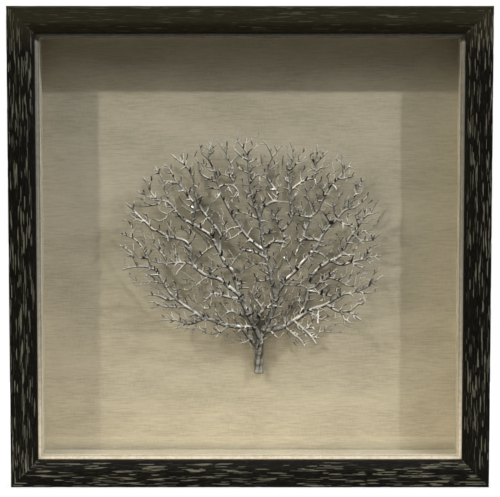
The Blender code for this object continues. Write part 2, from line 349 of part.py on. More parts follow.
UPPER_RIGHT = [
    (2.0, 1.4, [(18.4, 79.8, 10.2), (20.7, 84, 11), (23.2, 88, 11.7), (25.3, 92, 12.2),
                (28, 96.3, 12.6), (31, 99.8, 12.9), (36, 104, 13.2), (41, 109, 13.5),
                (45.5, 114.8, 13.7), (49.5, 119.3, 13.9), (53.5, 123.8, 14), (57, 127.5, 14.1),
                (60.3, 131.3, 14.2), (63.5, 136.5, 14.3), (66, 142, 14.4), (68.8, 147, 14.6),
                (74.5, 154, 14.9), (81, 160.3, 15.2)]),
    (1.2, 0.6, [(25.2, 91.8, 12.1), (30, 91.7, 13.5), (36, 91.8, 14.5), (42, 91.4, 15.5),
                (48.5, 90.6, 16.5)]),
    (1.2, 0.7, [(26, 93.2, 12.3), (24, 95.5, 16), (21.8, 97.5, 19.5)]),
    (1.2, 0.6, [(57, 127.5, 14.1), (60.5, 126.6, 15.3), (65.5, 124.8, 16.8), (70, 121.8, 18),
                (73.3, 118.8, 19.5)]),
    (1.7, 0.8, [(64.3, 138.2, 14.3), (60, 139.8, 13.3), (55, 140.2, 12.4), (50, 140, 11.6),
                (46, 139.8, 11), (43.8, 136, 11.2), (41.3, 129.5, 12), (37.7, 122, 13.5)]),
    (0.9, 0.5, [(44.5, 137.5, 11.1), (40.5, 139, 14), (37.5, 140.5, 17)]),
    (0.9, 0.5, [(62.5, 134.8, 14.3), (67, 133.8, 15.5), (74.5, 134, 17)]),
    (1.0, 0.6, [(68, 145.8, 14.5), (66.3, 150, 17), (64.2, 154, 19)]),
    (1.1, 0.7, [(40.5, 108.5, 13.5), (43, 109.8, 17), (46, 112.5, 20.5)]),
    (0.8, 0.5, [(50.5, 120.3, 13.9), (54, 120.5, 16), (57, 118.5, 18)]),
    (0.8, 0.5, [(51.5, 121.5, 14), (55, 122.5, 16.5), (57.8, 124.8, 18.5)]),
    (0.9, 0.5, [(73, 152.3, 14.8), (72, 157, 16), (70.5, 161, 17)]),
    (1.3, 0.7, [(76, 155.8, 15), (73.5, 161, 18.5), (70, 166, 21.5), (67, 171.5, 24)]),
    (0.8, 0.5, [(31.5, 100.2, 12.9), (36, 97.3, 14.5), (42, 98.3, 16)]),
    (1.1, 0.5, [(37, 105, 13.2), (34.5, 109, 14.5), (33, 113.4, 15.5), (29.6, 117.5, 16.5),
                (25.2, 122.2, 17.5)]),
]
UPPER_RIGHT_TIP = [
    (1.4, 0.6, [(80.2, 159.6, 15.2), (85, 165, 15.6), (89.5, 169.5, 16), (94.5, 172, 16.3),
                (99.5, 173, 16.7), (104.5, 176.3, 17.1), (109, 180.3, 17.5), (114.7, 186.8, 18)]),
    (1.2, 0.6, [(82, 161.6, 15.3), (86, 159, 16.5), (90, 156, 17.8), (95, 154, 19),
                (100, 153, 20)]),
    (0.8, 0.5, [(88.5, 157, 17.3), (88.5, 153.5, 19.5), (88, 151.5, 21.5)]),
    (0.7, 0.45, [(91.5, 155.3, 18.1), (93, 158.5, 19), (95, 161, 20)]),
    (1.2, 0.5, [(83, 162.8, 15.4), (80.5, 167, 18), (79.3, 172, 20), (78.8, 176, 21),
                (79.5, 181.5, 22)]),
    (1.1, 0.5, [(95.5, 172.3, 16.4), (97.3, 177.5, 17.2), (97.7, 182.5, 18), (100.4, 186.5, 18.7),
                (102.7, 192, 19), (105.4, 197.5, 19.3), (110.5, 205, 19.5)]),
    (0.7, 0.5, [(100.8, 187.3, 18.7), (103.5, 187.8, 20), (106, 188, 21)]),
    (0.6, 0.45, [(105, 196.8, 19.2), (107.7, 196.3, 20.5), (110.3, 195.8, 21.5)]),
    (0.8, 0.5, [(90, 169.8, 16), (90.4, 177, 17), (90.8, 185.3, 18)]),
]
TOP_RIGHT = [
    (1.4, 0.7, [(46.5, 139.9, 11), (48.3, 146, 10.5), (50.5, 151.5, 10.2), (52.7, 157.5, 10),
                (55, 163.5, 10), (60, 167.5, 10.4), (63.5, 172.5, 10.8), (66, 178.5, 11.3),
                (68.6, 184.5, 11.8), (71.3, 190, 12.3), (74.8, 195.3, 12.8), (78.3, 199, 13.3),
                (81.8, 202.5, 13.8), (85.5, 206.2, 14.4), (90, 211.3, 15), (93.5, 216.3, 15.8),
                (97.8, 221.5, 16.5)]),
    (1.3, 0.6, [(54.5, 162.5, 10), (50, 163.6, 12), (45, 164.8, 14), (41, 166, 15.5),
                (38, 166.5, 17)]),
    (0.8, 0.5, [(43, 165.4, 14.8), (43.5, 169, 16.5), (46, 172.3, 18)]),
    (0.9, 0.5, [(57, 165.3, 10.2), (55.3, 172.5, 9), (53, 178.5, 8.3), (51.6, 185, 8),
                (50.3, 191.5, 8), (48.5, 197.5, 8)]),
    (0.8, 0.5, [(73.5, 193.5, 12.7), (74, 199, 14), (72.7, 204.5, 15)]),
    (0.8, 0.45, [(88.5, 209.5, 14.8), (88.3, 216, 16), (87.1, 224, 17), (87.6, 232, 18)]),
    (0.6, 0.45, [(88.2, 217.5, 16.2), (86.5, 219.5, 18), (85, 221, 19)]),
    (0.9, 0.5, [(83, 203.8, 14), (88.5, 203.5, 15.7), (94, 205, 17), (97.5, 206.2, 17.8),
                (101.5, 209, 18.5)]),
    (0.6, 0.45, [(93, 204.6, 16.8), (91.5, 201.8, 18.5), (90, 200, 20)]),
    (0.9, 0.5, [(77, 197.8, 13.1), (79.7, 195, 15.5), (81.5, 191, 18)]),
    (0.8, 0.5, [(66.5, 180, 11.4), (62.5, 180.6, 13.5), (58.5, 178.3, 15.5)]),
]
LOW_RIGHT = [
    (2.3, 1.7, [(4, 38, 7.5), (8.5, 41.8, 9.3), (13, 43.4, 10.6), (18.5, 44.8, 11.6),
                (24.5, 47, 12.3), (30, 49.8, 12.8), (35, 53, 13.2), (38.5, 55.2, 13.5),
                (43, 57.8, 14), (47.5, 61.3, 14.6), (52, 64, 15.2), (57, 66.5, 15.8),
                (63, 68.6, 16.4), (67.5, 70, 16.9), (72, 72.6, 17.4)]),
    (1.0, 0.7, [(13, 43.4, 10.6), (16, 40, 14.5), (20.3, 36.7, 18)]),
    (1.0, 0.6, [(14.5, 43.8, 11), (15.8, 47.5, 15), (19, 51, 18)]),
    (1.2, 0.6, [(26.5, 48, 12.5), (31, 45.3, 15.5), (35, 42, 18), (40.5, 41.3, 20.5),
                (44.8, 39.3, 22.5)]),
    (1.1, 0.6, [(35, 42, 18), (39, 39, 21.5), (43, 36.3, 24), (46.3, 32.3, 26.5), (48.3, 29, 28.5)]),
    (0.9, 0.5, [(28, 48.8, 12.6), (27.5, 54, 10), (29.3, 59.5, 8.5), (32, 63.5, 7.5), (38, 69.5, 7)]),
    (1.1, 0.5, [(62, 68.2, 16.3), (63, 65, 19), (62.5, 61.5, 21), (63.5, 58, 22.5),
                (66, 56.8, 23.5), (70, 56.3, 24.3), (74, 54.8, 25)]),
    (1.1, 0.8, [(62.7, 60, 21.8), (62, 56, 24.5), (62.3, 52, 27)]),
    (0.9, 0.6, [(56.5, 66.2, 15.7), (57, 63, 18.5), (55.5, 59.5, 21)]),
]
FRONT_RIGHT = [
    (1.6, 0.8, [(37.5, 54.6, 13.4), (40.5, 51.5, 17), (44, 48.8, 19.5), (48.5, 45.5, 22),
                (52.4, 41.8, 24.5), (55.5, 38.3, 26.5), (58.6, 33.5, 28), (61, 29.8, 29)]),
    (1.0, 0.6, [(42, 50.3, 18.3), (41.3, 47.5, 21.5), (45.3, 44.5, 24), (48.2, 41, 26),
                (50, 38.5, 27.5)]),
    (0.9, 0.5, [(55.3, 38.5, 26.5), (59, 38.6, 26.8), (62.5, 41, 27), (64, 46, 27.5)]),
]
LOW_RIGHT_TIP = [
    (1.5, 0.7, [(71, 72, 17.4), (76, 75.2, 17.8), (80.5, 78, 18.2), (85, 81, 18.6), (90, 82.9, 18.9),
                (96, 84, 19.2), (101, 85.3, 19.5), (105.5, 86, 19.8), (109.5, 84.5, 20.3),
                (114.5, 84.4, 20.8), (118.8, 85.4, 21.2)]),
    (1.2, 0.5, [(104.5, 85.9, 19.8), (108.5, 88, 20.3), (113, 90.8, 20.8), (117, 92.8, 21.2),
                (120.3, 94.6, 21.5), (125.5, 98.8, 22), (131, 103.2, 22.5)]),
    (0.7, 0.45, [(119.5, 94.2, 21.5), (119.8, 98, 22.5), (118, 101.3, 23.5)]),
    (0.7, 0.45, [(119.5, 94.2, 21.5), (122, 93.5, 23), (124, 91.8, 24)]),
    (0.9, 0.5, [(94.5, 83.8, 19.2), (97.5, 82, 21), (99.8, 79.5, 22.5)]),
    (0.8, 0.5, [(101, 85.3, 19.5), (103.5, 89, 21), (104.8, 92, 22.5)]),
]
BOTTOM_RIGHT = [
    (1.5, 0.7, [(71.3, 72.2, 17.4), (74.5, 69.8, 18.3), (78, 67, 19.2), (82.5, 65.4, 20),
                (88, 65, 20.8), (93, 64.8, 21.5), (97, 63.3, 22.2), (100.5, 60.8, 23),
                (104, 58.2, 23.8), (107.8, 55.8, 24.5)]),
    (1.0, 0.5, [(86, 65.1, 20.5), (88.3, 60.5, 22), (90.3, 55.5, 23.5), (90.2, 49.8, 25)]),
    (0.8, 0.5, [(89.8, 56.5, 23.3), (93.5, 54.6, 25), (97, 52.6, 26)]),
    (1.0, 0.5, [(95.5, 64.2, 21.9), (99.6, 69, 22.5), (104.5, 73.5, 23), (105.5, 77, 23.3),
                (109, 79.5, 24)]),
    (0.7, 0.45, [(103.5, 72.8, 23), (107, 73.3, 24.5), (110.5, 71.8, 25.5)]),
    (0.8, 0.6, [(99.5, 61.5, 22.8), (100, 58.5, 25), (101.3, 56.3, 26.5)]),
    (0.7, 0.5, [(98, 62.6, 22.4), (101.5, 62.5, 24.5), (104.8, 61.6, 26)]),
    (0.9, 0.6, [(75.5, 69, 18.5), (78, 69.8, 21.5), (81, 69.6, 24)]),
]
RIGHT = [
    (2.1, 1.4, [(40, 56.2, 13.6), (44.5, 61, 11.5), (47.3, 66, 10.3), (49.3, 71.5, 10), (51, 78, 10),
                (51.9, 84.5, 10), (52.4, 90, 10.2), (54, 96, 10.6), (56.5, 101, 11),
                (60, 105.5, 11.5), (64, 109.7, 12), (68.5, 112.8, 12.3), (74.6, 117, 12.6),
                (79.5, 118.6, 12.8), (84, 121, 13), (87.3, 124.5, 13.2), (88.8, 128.5, 13.4),
                (90.8, 133, 13.6), (93.5, 138, 13.8), (96, 142.5, 14)]),
    (1.3, 0.7, [(52, 84.8, 10), (56, 85.6, 13), (61, 84.6, 15.5), (66, 82.8, 18), (71, 81.5, 20),
                (75.5, 80.9, 22), (79.5, 80.8, 24)]),
    (1.2, 0.8, [(66.3, 82.7, 18.1), (66.5, 86, 21.5), (67.5, 89.5, 24.5)]),
    (0.8, 0.5, [(69, 82, 19.2), (67.3, 77.8, 20.5), (64.5, 75, 21)]),
    (0.9, 0.5, [(49, 70.5, 10), (46, 75.5, 11.5), (43, 80, 12.5), (40, 84.5, 13.5)]),
    (0.8, 0.5, [(46.5, 64.5, 10.5), (43.5, 69.3, 12.5), (40.3, 72.8, 14)]),
    (1.0, 0.7, [(45, 62, 11.3), (45.8, 64.5, 15.5), (46.5, 67, 19)]),
    (1.1, 0.7, [(53.5, 94.5, 10.5), (54.3, 98.5, 15), (55.5, 102, 19)]),
    (0.9, 0.6, [(57.5, 102.3, 11.2), (54.5, 104, 14.5), (52, 104.5, 17.5)]),
    (0.9, 0.6, [(66, 111.2, 12.1), (65, 114, 16.5), (67.5, 117, 20)]),
    (0.8, 0.5, [(87, 124.2, 13.2), (84.5, 127, 15), (81.8, 131.3, 17)]),
    (0.8, 0.5, [(88.3, 127, 13.3), (91, 125, 16), (94.3, 122.8, 18)]),
    (0.9, 0.5, [(89.5, 130, 13.5), (87.5, 134, 13), (86.5, 138.5, 12.5)]),
    (1.0, 0.6, [(92.3, 135.8, 13.7), (95, 136.8, 16.5), (99, 136.5, 19)]),
    (1.0, 0.7, [(89, 129, 13.4), (87.3, 130.5, 17.5), (87, 132.5, 21)]),
]
RIGHT_TIP = [
    (1.4, 0.6, [(95.4, 141.5, 14), (99, 147, 14.3), (102.3, 151, 14.7), (105.5, 155.5, 15.1),
                (108.8, 160.5, 15.6), (113, 165.2, 16.2), (117.5, 169.5, 17), (121, 176, 18),
                (125.5, 183.5, 19)]),
    (1.2, 0.5, [(98.5, 146.3, 14.2), (102.5, 142, 16), (106.7, 139.5, 17.3), (112.5, 138.8, 18.5),
                (118, 140, 19.5), (122.8, 142.9, 20.2), (127.8, 147.5, 21)]),
    (0.8, 0.45, [(101.5, 143, 15.6), (106.7, 146.5, 16.5), (110.5, 149, 17), (116, 150, 17.5)]),
    (0.8, 0.5, [(105, 140.3, 16.8), (107.5, 137.5, 19.5), (110, 136, 22)]),
    (0.9, 0.5, [(105, 154.8, 15), (103.2, 159, 16.5), (102, 163.5, 18), (100.3, 166.5, 19)]),
    (0.8, 0.5, [(112.3, 164.5, 16.1), (110.8, 170, 17.5), (110, 175.5, 18.5)]),
    (0.8, 0.5, [(114, 166.2, 16.4), (118.5, 166.8, 18), (123.3, 169, 19)]),
    (0.8, 0.5, [(107.5, 158.5, 15.4), (112, 158, 17.5), (117, 160, 19)]),
]
RIGHT_INNER = [
    (1.4, 0.6, [(52.4, 87.5, 10.1), (56.5, 88.6, 12.5), (60, 90.5, 14.5), (63, 94, 16),
                (66, 96.8, 17), (70, 98.6, 17.8), (75, 100, 18.3), (79, 99.3, 18.8),
                (83, 97.6, 19.3), (87.5, 95.2, 19.8), (92, 92.8, 20.5), (98, 91, 21)]),
    (1.1, 0.6, [(74, 99.9, 18.2), (74.8, 103, 20), (78, 106, 21.5), (82.5, 109.8, 23)]),
    (0.8, 0.6, [(74.9, 103, 20), (74, 105.5, 22.5), (73, 107.5, 24.5)]),
    (0.9, 0.5, [(64, 95, 16.4), (67.5, 95.3, 19.5), (71.5, 97, 22.5)]),
]
FAR_RIGHT = [
    (1.4, 0.6, [(77, 117.8, 12.7), (82, 115.3, 14), (87, 113.8, 15.5), (92.5, 114.5, 16.8),
                (97.7, 116.2, 17.8), (102.5, 118, 18.6), (108, 119.5, 19.4), (114, 121.3, 20.2),
                (120, 122.6, 21), (129.5, 124.3, 22)]),
    (0.8, 0.5, [(109, 119.8, 19.5), (113, 124.8, 20.8), (116, 128, 21.5), (118.8, 129.8, 22)]),
    (0.8, 0.5, [(110, 120.1, 19.6), (114, 117.8, 21.5), (117.5, 114.5, 23)]),
    (0.9, 0.5, [(98, 116.3, 17.9), (102.6, 113, 19.5), (105.5, 112, 20.5), (109.3, 110.5, 21.5)]),
    (0.7, 0.5, [(101, 114.2, 19), (105, 114.5, 21), (109, 114.3, 22.5)]),
    (0.6, 0.4, [(121, 122.8, 21.2), (124, 120.3, 22.3), (127, 118.3, 23)]),
]

# Node, routes, and the nodes that it grows from or beside, the one that it grows from first
LIMBS = [
    ("coral_stem", STEM, []),
    ("coral_limb_left", LEFT, ["coral_stem"]),
    ("coral_trunk", TRUNK, ["coral_stem", "coral_limb_left"]),
    ("coral_limb_middle", MIDDLE, ["coral_limb_left"]),
    ("coral_limb_low_left", LOW_LEFT, ["coral_stem"]),
    ("coral_limb_far_left", FAR_LEFT, ["coral_limb_low_left"]),
    ("coral_limb_left_inner", LEFT_INNER, ["coral_limb_left"]),
    ("coral_limb_mid_left", MID_LEFT, ["coral_limb_left"]),
    ("coral_limb_high_left", HIGH_LEFT, ["coral_limb_mid_left"]),
    ("coral_limb_upper_left", UPPER_LEFT, ["coral_limb_left", "coral_limb_mid_left"]),
    ("coral_limb_far_upper_left", FAR_UPPER_LEFT, ["coral_limb_upper_left"]),
    ("coral_limb_left_crown", LEFT_CROWN, ["coral_limb_upper_left", "coral_limb_far_upper_left"]),
    ("coral_limb_inner_left", INNER_LEFT, ["coral_limb_upper_left"]),
    ("coral_limb_centre", CENTRE, ["coral_trunk"]),
    ("coral_limb_crown", CROWN, ["coral_limb_centre"]),
    ("coral_limb_upper_middle", UPPER_MIDDLE, ["coral_limb_centre", "coral_limb_crown"]),
    ("coral_limb_top_left", TOP_LEFT, ["coral_limb_centre"]),
    ("coral_limb_top_left_tip", TOP_LEFT_TIP, ["coral_limb_top_left"]),
    ("coral_limb_centre_right", CENTRE_RIGHT, ["coral_limb_centre"]),
    ("coral_limb_top_middle", TOP_MIDDLE, ["coral_limb_centre_right"]),
    ("coral_limb_top_right_inner", TOP_RIGHT_INNER,
     ["coral_limb_centre_right", "coral_limb_top_middle"]),
    ("coral_limb_upper_right", UPPER_RIGHT, ["coral_trunk", "coral_limb_centre"]),
    ("coral_limb_upper_right_tip", UPPER_RIGHT_TIP, ["coral_limb_upper_right"]),
    ("coral_limb_top_right", TOP_RIGHT, ["coral_limb_upper_right"]),
    ("coral_limb_low_right", LOW_RIGHT, ["coral_trunk"]),
    ("coral_limb_front_right", FRONT_RIGHT, ["coral_limb_low_right"]),
    ("coral_limb_low_right_tip", LOW_RIGHT_TIP, ["coral_limb_low_right"]),
    ("coral_limb_bottom_right", BOTTOM_RIGHT,
     ["coral_limb_low_right", "coral_limb_low_right_tip"]),
    ("coral_limb_right", RIGHT, ["coral_limb_low_right", "coral_limb_front_right"]),
    ("coral_limb_right_tip", RIGHT_TIP, ["coral_limb_right"]),
    ("coral_limb_right_inner", RIGHT_INNER, ["coral_limb_right"]),
    ("coral_limb_far_right", FAR_RIGHT, ["coral_limb_right"]),
]


def clear_scene():
    for obj in list(bpy.data.objects):
        bpy.data.objects.remove(obj)


def material(name, colour, roughness, metallic=0.0, alpha=1.0):
    mat = bpy.data.materials.new(name)
    mat.use_nodes = True
    shader = mat.node_tree.nodes["Principled BSDF"]
    shader.inputs["Base Color"].default_value = (*colour, 1.0)
    shader.inputs["Roughness"].default_value = roughness
    shader.inputs["Metallic"].default_value = metallic
    shader.inputs["Alpha"].default_value = alpha
    return mat


def new_object(name, mesh_builder, mat):
    """Makes an object from a bmesh whose coordinates are in millimetres."""
    bmesh.ops.recalc_face_normals(mesh_builder, faces=mesh_builder.faces)
    bmesh.ops.scale(mesh_builder, vec=(MM, MM, MM), verts=mesh_builder.verts)
    mesh = bpy.data.meshes.new(name)
    mesh_builder.to_mesh(mesh)
    mesh_builder.free()
    obj = bpy.data.objects.new(name, mesh)
    bpy.context.scene.collection.objects.link(obj)
    obj.data.materials.append(mat)
    return obj


def make_cutter(obj):
    obj.hide_render = True
    obj.display_type = "WIRE"


def add_boolean(obj, operation, operand, self_crossing=False):
    mod = obj.modifiers.new(operation.title(), "BOOLEAN")
    mod.operation = operation
    mod.solver = "EXACT"
    mod.use_self = self_crossing
    mod.object = operand


def side_matrix(side):
    """Turns the bottom side's shape round the frame's centre to another side."""
    centre = Vector((0.0, 0.0, HALF))
    turn = Matrix.Rotation(-math.radians(90 * SIDES.index(side)), 4, "Y")
    return Matrix.Translation(centre) @ turn @ Matrix.Translation(-centre)


def mitred_piece(name, side, profile, mat, shade=False):
    """Extrudes (inward from the outer edge, back from the front) between two mitres."""
    builder = bmesh.new()
    ends = []
    for sign in (-1, 1):
        reach = [sign * (HALF - inward - GAP * math.sqrt(0.5)) for inward, _ in profile]
        ends.append([builder.verts.new((x, FRONT_Y + back, inward))
                     for x, (inward, back) in zip(reach, profile)])
    count = len(profile)
    for i in range(count):
        j = (i + 1) % count
        builder.faces.new((ends[0][i], ends[0][j], ends[1][j], ends[1][i]))
    for end in ends:
        builder.faces.new(end)
    bmesh.ops.transform(builder, matrix=side_matrix(side), verts=builder.verts)
    obj = new_object(name, builder, mat)
    if shade:
        obj.data.shade_smooth()
        obj.data.set_sharp_from_angle(angle=math.radians(30))
    return obj


def box_builder(low, high):
    builder = bmesh.new()
    bmesh.ops.create_cube(builder, size=1.0)
    size = [b - a for a, b in zip(low, high)]
    middle = [(a + b) / 2 for a, b in zip(low, high)]
    bmesh.ops.scale(builder, vec=size, verts=builder.verts)
    bmesh.ops.translate(builder, vec=middle, verts=builder.verts)
    return builder


def rail_profile():
    """Flat front with an eased outer edge, sloping in to the lip over the slip."""
    ease = 1.8
    slope_from = 17.0
    slope_depth = 4.4
    return [
        (0, RAIL_DEPTH), (0, ease), (0.5, 0.5), (ease, 0),
        (slope_from, 0), (slope_from + 2.5, 0.5), (RAIL_WIDTH - 1.4, slope_depth - 0.8),
        (RAIL_WIDTH - 0.3, slope_depth), (RAIL_WIDTH, slope_depth + 1.0),
        (RAIL_WIDTH, LIP_DEPTH), (RAIL_WOOD, LIP_DEPTH), (RAIL_WOOD, RAIL_DEPTH),
    ]


def slip_profile():
    """A flat fillet at the lip, a fine groove and a lower inner bead."""
    edge = RAIL_WIDTH + SLIP_SIGHT
    back = SLIP_FRONT + SLIP_DEPTH
    groove = RAIL_WIDTH + 2.9
    return [
        (RAIL_WOOD + 1.0, back), (RAIL_WOOD + 1.0, SLIP_FRONT), (groove - 0.7, SLIP_FRONT),
        (groove - 0.2, SLIP_FRONT + 0.25), (groove, SLIP_FRONT + 1.0),
        (edge - 1.1, SLIP_FRONT + 0.7), (edge - 0.4, SLIP_FRONT + 0.85),
        (edge, SLIP_FRONT + 1.4), (edge, back),
    ]


def make_frame(mats):
    rail = rail_profile()
    slip = slip_profile()
    wall = [(RAIL_WOOD + GAP, WALL_FRONT), (WALL_INNER, WALL_FRONT),
            (WALL_INNER, WALL_BACK), (RAIL_WOOD + GAP, WALL_BACK)]
    for side in SIDES:
        mitred_piece("rail_" + side, side, rail, mats["wood"], shade=True)
        mitred_piece("slip_" + side, side, slip, mats["leaf"], shade=True)
        mitred_piece("wall_" + side, side, wall, mats["linen"])


def make_sheets(mats):
    """The pane, the linen-covered panel and the backing board, which fill the rabbet."""
    sheets = [
        ("glass_pane", GLASS_FRONT, GLASS_THICKNESS, 1.0, 0.0, "glass"),
        ("linen_panel", PANEL_FRONT, PANEL_THICKNESS, 1.0, 0.6, "linen"),
        ("backing_board", BACKING_FRONT, BACKING_THICKNESS, 0.7, 0.0, "board"),
    ]
    for name, front, thickness, play, bevel, mat in sheets:
        reach = HALF - RAIL_WOOD - play
        builder = box_builder((-reach, FRONT_Y + front, HALF - reach),
                              (reach, FRONT_Y + front + thickness, HALF + reach))
        obj = new_object(name, builder, mats[mat])
        if bevel:
            mod = obj.modifiers.new("Wrapped edge", "BEVEL")
            mod.width = bevel * MM
            mod.segments = 1


def make_points(mats):
    """Flat steel points shot into the rails' inner faces, lying over the backing board."""
    along = 130.0
    width = 9.0
    thickness = 0.6
    in_wood = 8.0
    over_board = 10.0
    back = BACKING_BACK + GAP
    number = 1
    for side in SIDES:
        slots = bmesh.new()
        for sign in (-1, 1):
            x = sign * along
            low = (x - width / 2, FRONT_Y + back, RAIL_WOOD - in_wood)
            high = (x + width / 2, FRONT_Y + back + thickness, RAIL_WOOD + over_board)
            builder = box_builder(low, high)
            bmesh.ops.transform(builder, matrix=side_matrix(side), verts=builder.verts)
            new_object("point_%d" % number, builder, mats["steel"])
            number += 1
            slot = box_builder([v - GAP for v in low], [v + GAP for v in high])
            scratch = bpy.data.meshes.new("slot")
            slot.to_mesh(scratch)
            slot.free()
            slots.from_mesh(scratch)
        bmesh.ops.transform(slots, matrix=side_matrix(side), verts=slots.verts)
        cutter = new_object("slots_" + side, slots, mats["wood"])
        make_cutter(cutter)
        add_boolean(bpy.data.objects["rail_" + side], "DIFFERENCE", cutter)


def make_hanger(name, x_middle, mat):
    """A steel strip whose middle stands off the wood and has teeth along its lower edge."""
    half_length = 23.0
    raised_half = 11.0
    ramp = 3.0
    height = 9.0
    thickness = 0.8
    raise_by = 1.5
    teeth = 7
    tooth = 1.6
    z_top = FRAME_SIZE - RAIL_WOOD / 2 + height / 2
    y_flat = FRONT_Y + RAIL_DEPTH + GAP
    stations = [(-half_length, 0, 0), (-raised_half - ramp, 0, 0)]
    for i in range(2 * teeth + 1):
        x = -raised_half + i * raised_half / teeth
        stations.append((x, raise_by, tooth * (i % 2)))
    stations += [(raised_half + ramp, 0, 0), (half_length, 0, 0)]
    builder = bmesh.new()
    rings = []
    for x, lift, notch in stations:
        y = y_flat + lift
        corners = [(y, z_top - height + notch), (y + thickness, z_top - height + notch),
                   (y + thickness, z_top), (y, z_top)]
        rings.append([builder.verts.new((x_middle + x, cy, cz)) for cy, cz in corners])
    for a, b in zip(rings, rings[1:]):
        for i in range(4):
            j = (i + 1) % 4
            builder.faces.new((a[i], a[j], b[j], b[i]))
    builder.faces.new(rings[0])
    builder.faces.new(rings[-1])
    new_object(name, builder, mat)


def make_bumper(name, x, mat):
    radius = 5.5
    height = WALL_STANDOFF - GAP
    builder = bmesh.new()
    bmesh.ops.create_cone(builder, cap_ends=True, segments=20, radius1=radius,
                          radius2=radius * 0.86, depth=height)
    middle = FRONT_Y + RAIL_DEPTH + GAP + height / 2
    place = Matrix.Translation((x, middle, RAIL_WOOD / 2)) @ Matrix.Rotation(
        -math.pi / 2, 4, "X")
    bmesh.ops.transform(builder, matrix=place, verts=builder.verts)
    obj = new_object(name, builder, mat)
    obj.data.shade_smooth()
    obj.data.set_sharp_from_angle(angle=math.radians(30))


def place(point):
    """Takes a point of the coral's sketch to the frame's millimetres."""
    right, up, out = point
    return Vector((FOOT_X + right * CORAL_SCALE, FRONT_Y + PANEL_FRONT - out,
                   FOOT_Z + up * CORAL_SCALE))


def smooth_route(points):
    """A Catmull-Rom curve through the points, sampled about every step, with fractions."""
    padded = [points[0] * 2 - points[1]] + points + [points[-1] * 2 - points[-2]]
    fine = []
    for p0, p1, p2, p3 in zip(padded, padded[1:], padded[2:], padded[3:]):
        for i in range(8):
            t = i / 8
            fine.append(0.5 * (2 * p1 + (p2 - p0) * t + (2 * p0 - 5 * p1 + 4 * p2 - p3) * t * t
                               + (3 * p1 - p0 - 3 * p2 + p3) * t ** 3))
    fine.append(points[-1])
    lengths = [0.0]
    for a, b in zip(fine, fine[1:]):
        lengths.append(lengths[-1] + (b - a).length)
    total = lengths[-1]
    count = max(2, round(total / STEP))
    route = []
    at = 0
    for i in range(count + 1):
        goal = total * i / count
        while at < len(lengths) - 2 and lengths[at + 1] < goal:
            at += 1
        part = (goal - lengths[at]) / (lengths[at + 1] - lengths[at])
        route.append((fine[at].lerp(fine[at + 1], part), i / count))
    return route


def nearest_on(routes, point):
    """The nearest point of the given routes' centre lines."""
    best = None
    for route in routes:
        for (a, _), (b, _) in zip(route, route[1:]):
            span = b - a
            t = min(1.0, max(0.0, (point - a).dot(span) / span.length_squared))
            found = a + span * t
            if best is None or (found - point).length < (best - point).length:
                best = found
    return best


def add_tube(builder, route, root_radius, tip_radius, sides, swell=0.0):
    """A tapered tube with a flat root and a pointed tip, or a flat one if it is swelled."""
    centres = [point for point, _ in route]
    rings = []
    side = None
    for i, (centre, fraction) in enumerate(route):
        ahead = centres[min(i + 1, len(centres) - 1)]
        behind = centres[max(i - 1, 0)]
        along = (ahead - behind).normalized()
        if side is None:
            side = along.cross(Vector((0.13, 1.0, 0.07))).normalized()
        side = (side - along * side.dot(along)).normalized()
        other = along.cross(side)
        last = i == len(route) - 1
        if last and not swell:
            rings.append([builder.verts.new(centre)])
            continue
        radius = root_radius + (tip_radius - root_radius) * fraction + swell
        ring = []
        for k in range(sides):
            angle = 2 * math.pi * k / sides
            ring.append(builder.verts.new(
                centre + radius * (math.cos(angle) * side + math.sin(angle) * other)))
        rings.append(ring)
    for a, b in zip(rings, rings[1:]):
        for k in range(sides):
            n = (k + 1) % sides
            if len(b) == 1:
                builder.faces.new((a[k], a[n], b[0]))
            else:
                builder.faces.new((a[k], a[n], b[n], b[k]))
    builder.faces.new(rings[0])
    if len(rings[-1]) > 1:
        builder.faces.new(rings[-1])


def grown_routes(sketch, carriers):
    """Smooths each route of a limb after moving its root onto what it grows from."""
    grown = []
    for root_radius, tip_radius, points in sketch:
        placed = [place(point) for point in points]
        carrier = grown if grown else carriers
        if carrier:
            placed[0] = nearest_on([route for route, _, _ in carrier], placed[0])
        grown.append((smooth_route(placed), root_radius, tip_radius))
    return grown


def tubes_object(name, grown, mat, swell=0.0):
    builder = bmesh.new()
    for route, root_radius, tip_radius in grown:
        sides = next(count for least, count in SIDES_BY_RADIUS if root_radius > least)
        add_tube(builder, route, root_radius, tip_radius, sides, swell)
    obj = new_object(name, builder, mat)
    obj.data.shade_smooth()
    return obj


def make_coral(mat):
    """Each limb is its own body: its branches are fused to it, and it stops at its fork."""
    routes = {}
    for name, sketch, beside in LIMBS:
        carriers = routes[beside[0]] if beside else []
        routes[name] = grown_routes(sketch, carriers)
        limb = tubes_object(name, routes[name][:1], mat)
        if len(routes[name]) > 1:
            branches = tubes_object(name + "_branches", routes[name][1:], mat)
            make_cutter(branches)
            add_boolean(limb, "UNION", branches, self_crossing=True)
        if beside:
            fork = []
            for neighbour in beside:
                fork += routes[neighbour]
            clearance = tubes_object(name + "_fork", fork, mat, CLEARANCE)
            make_cutter(clearance)
            add_boolean(limb, "DIFFERENCE", clearance, self_crossing=True)


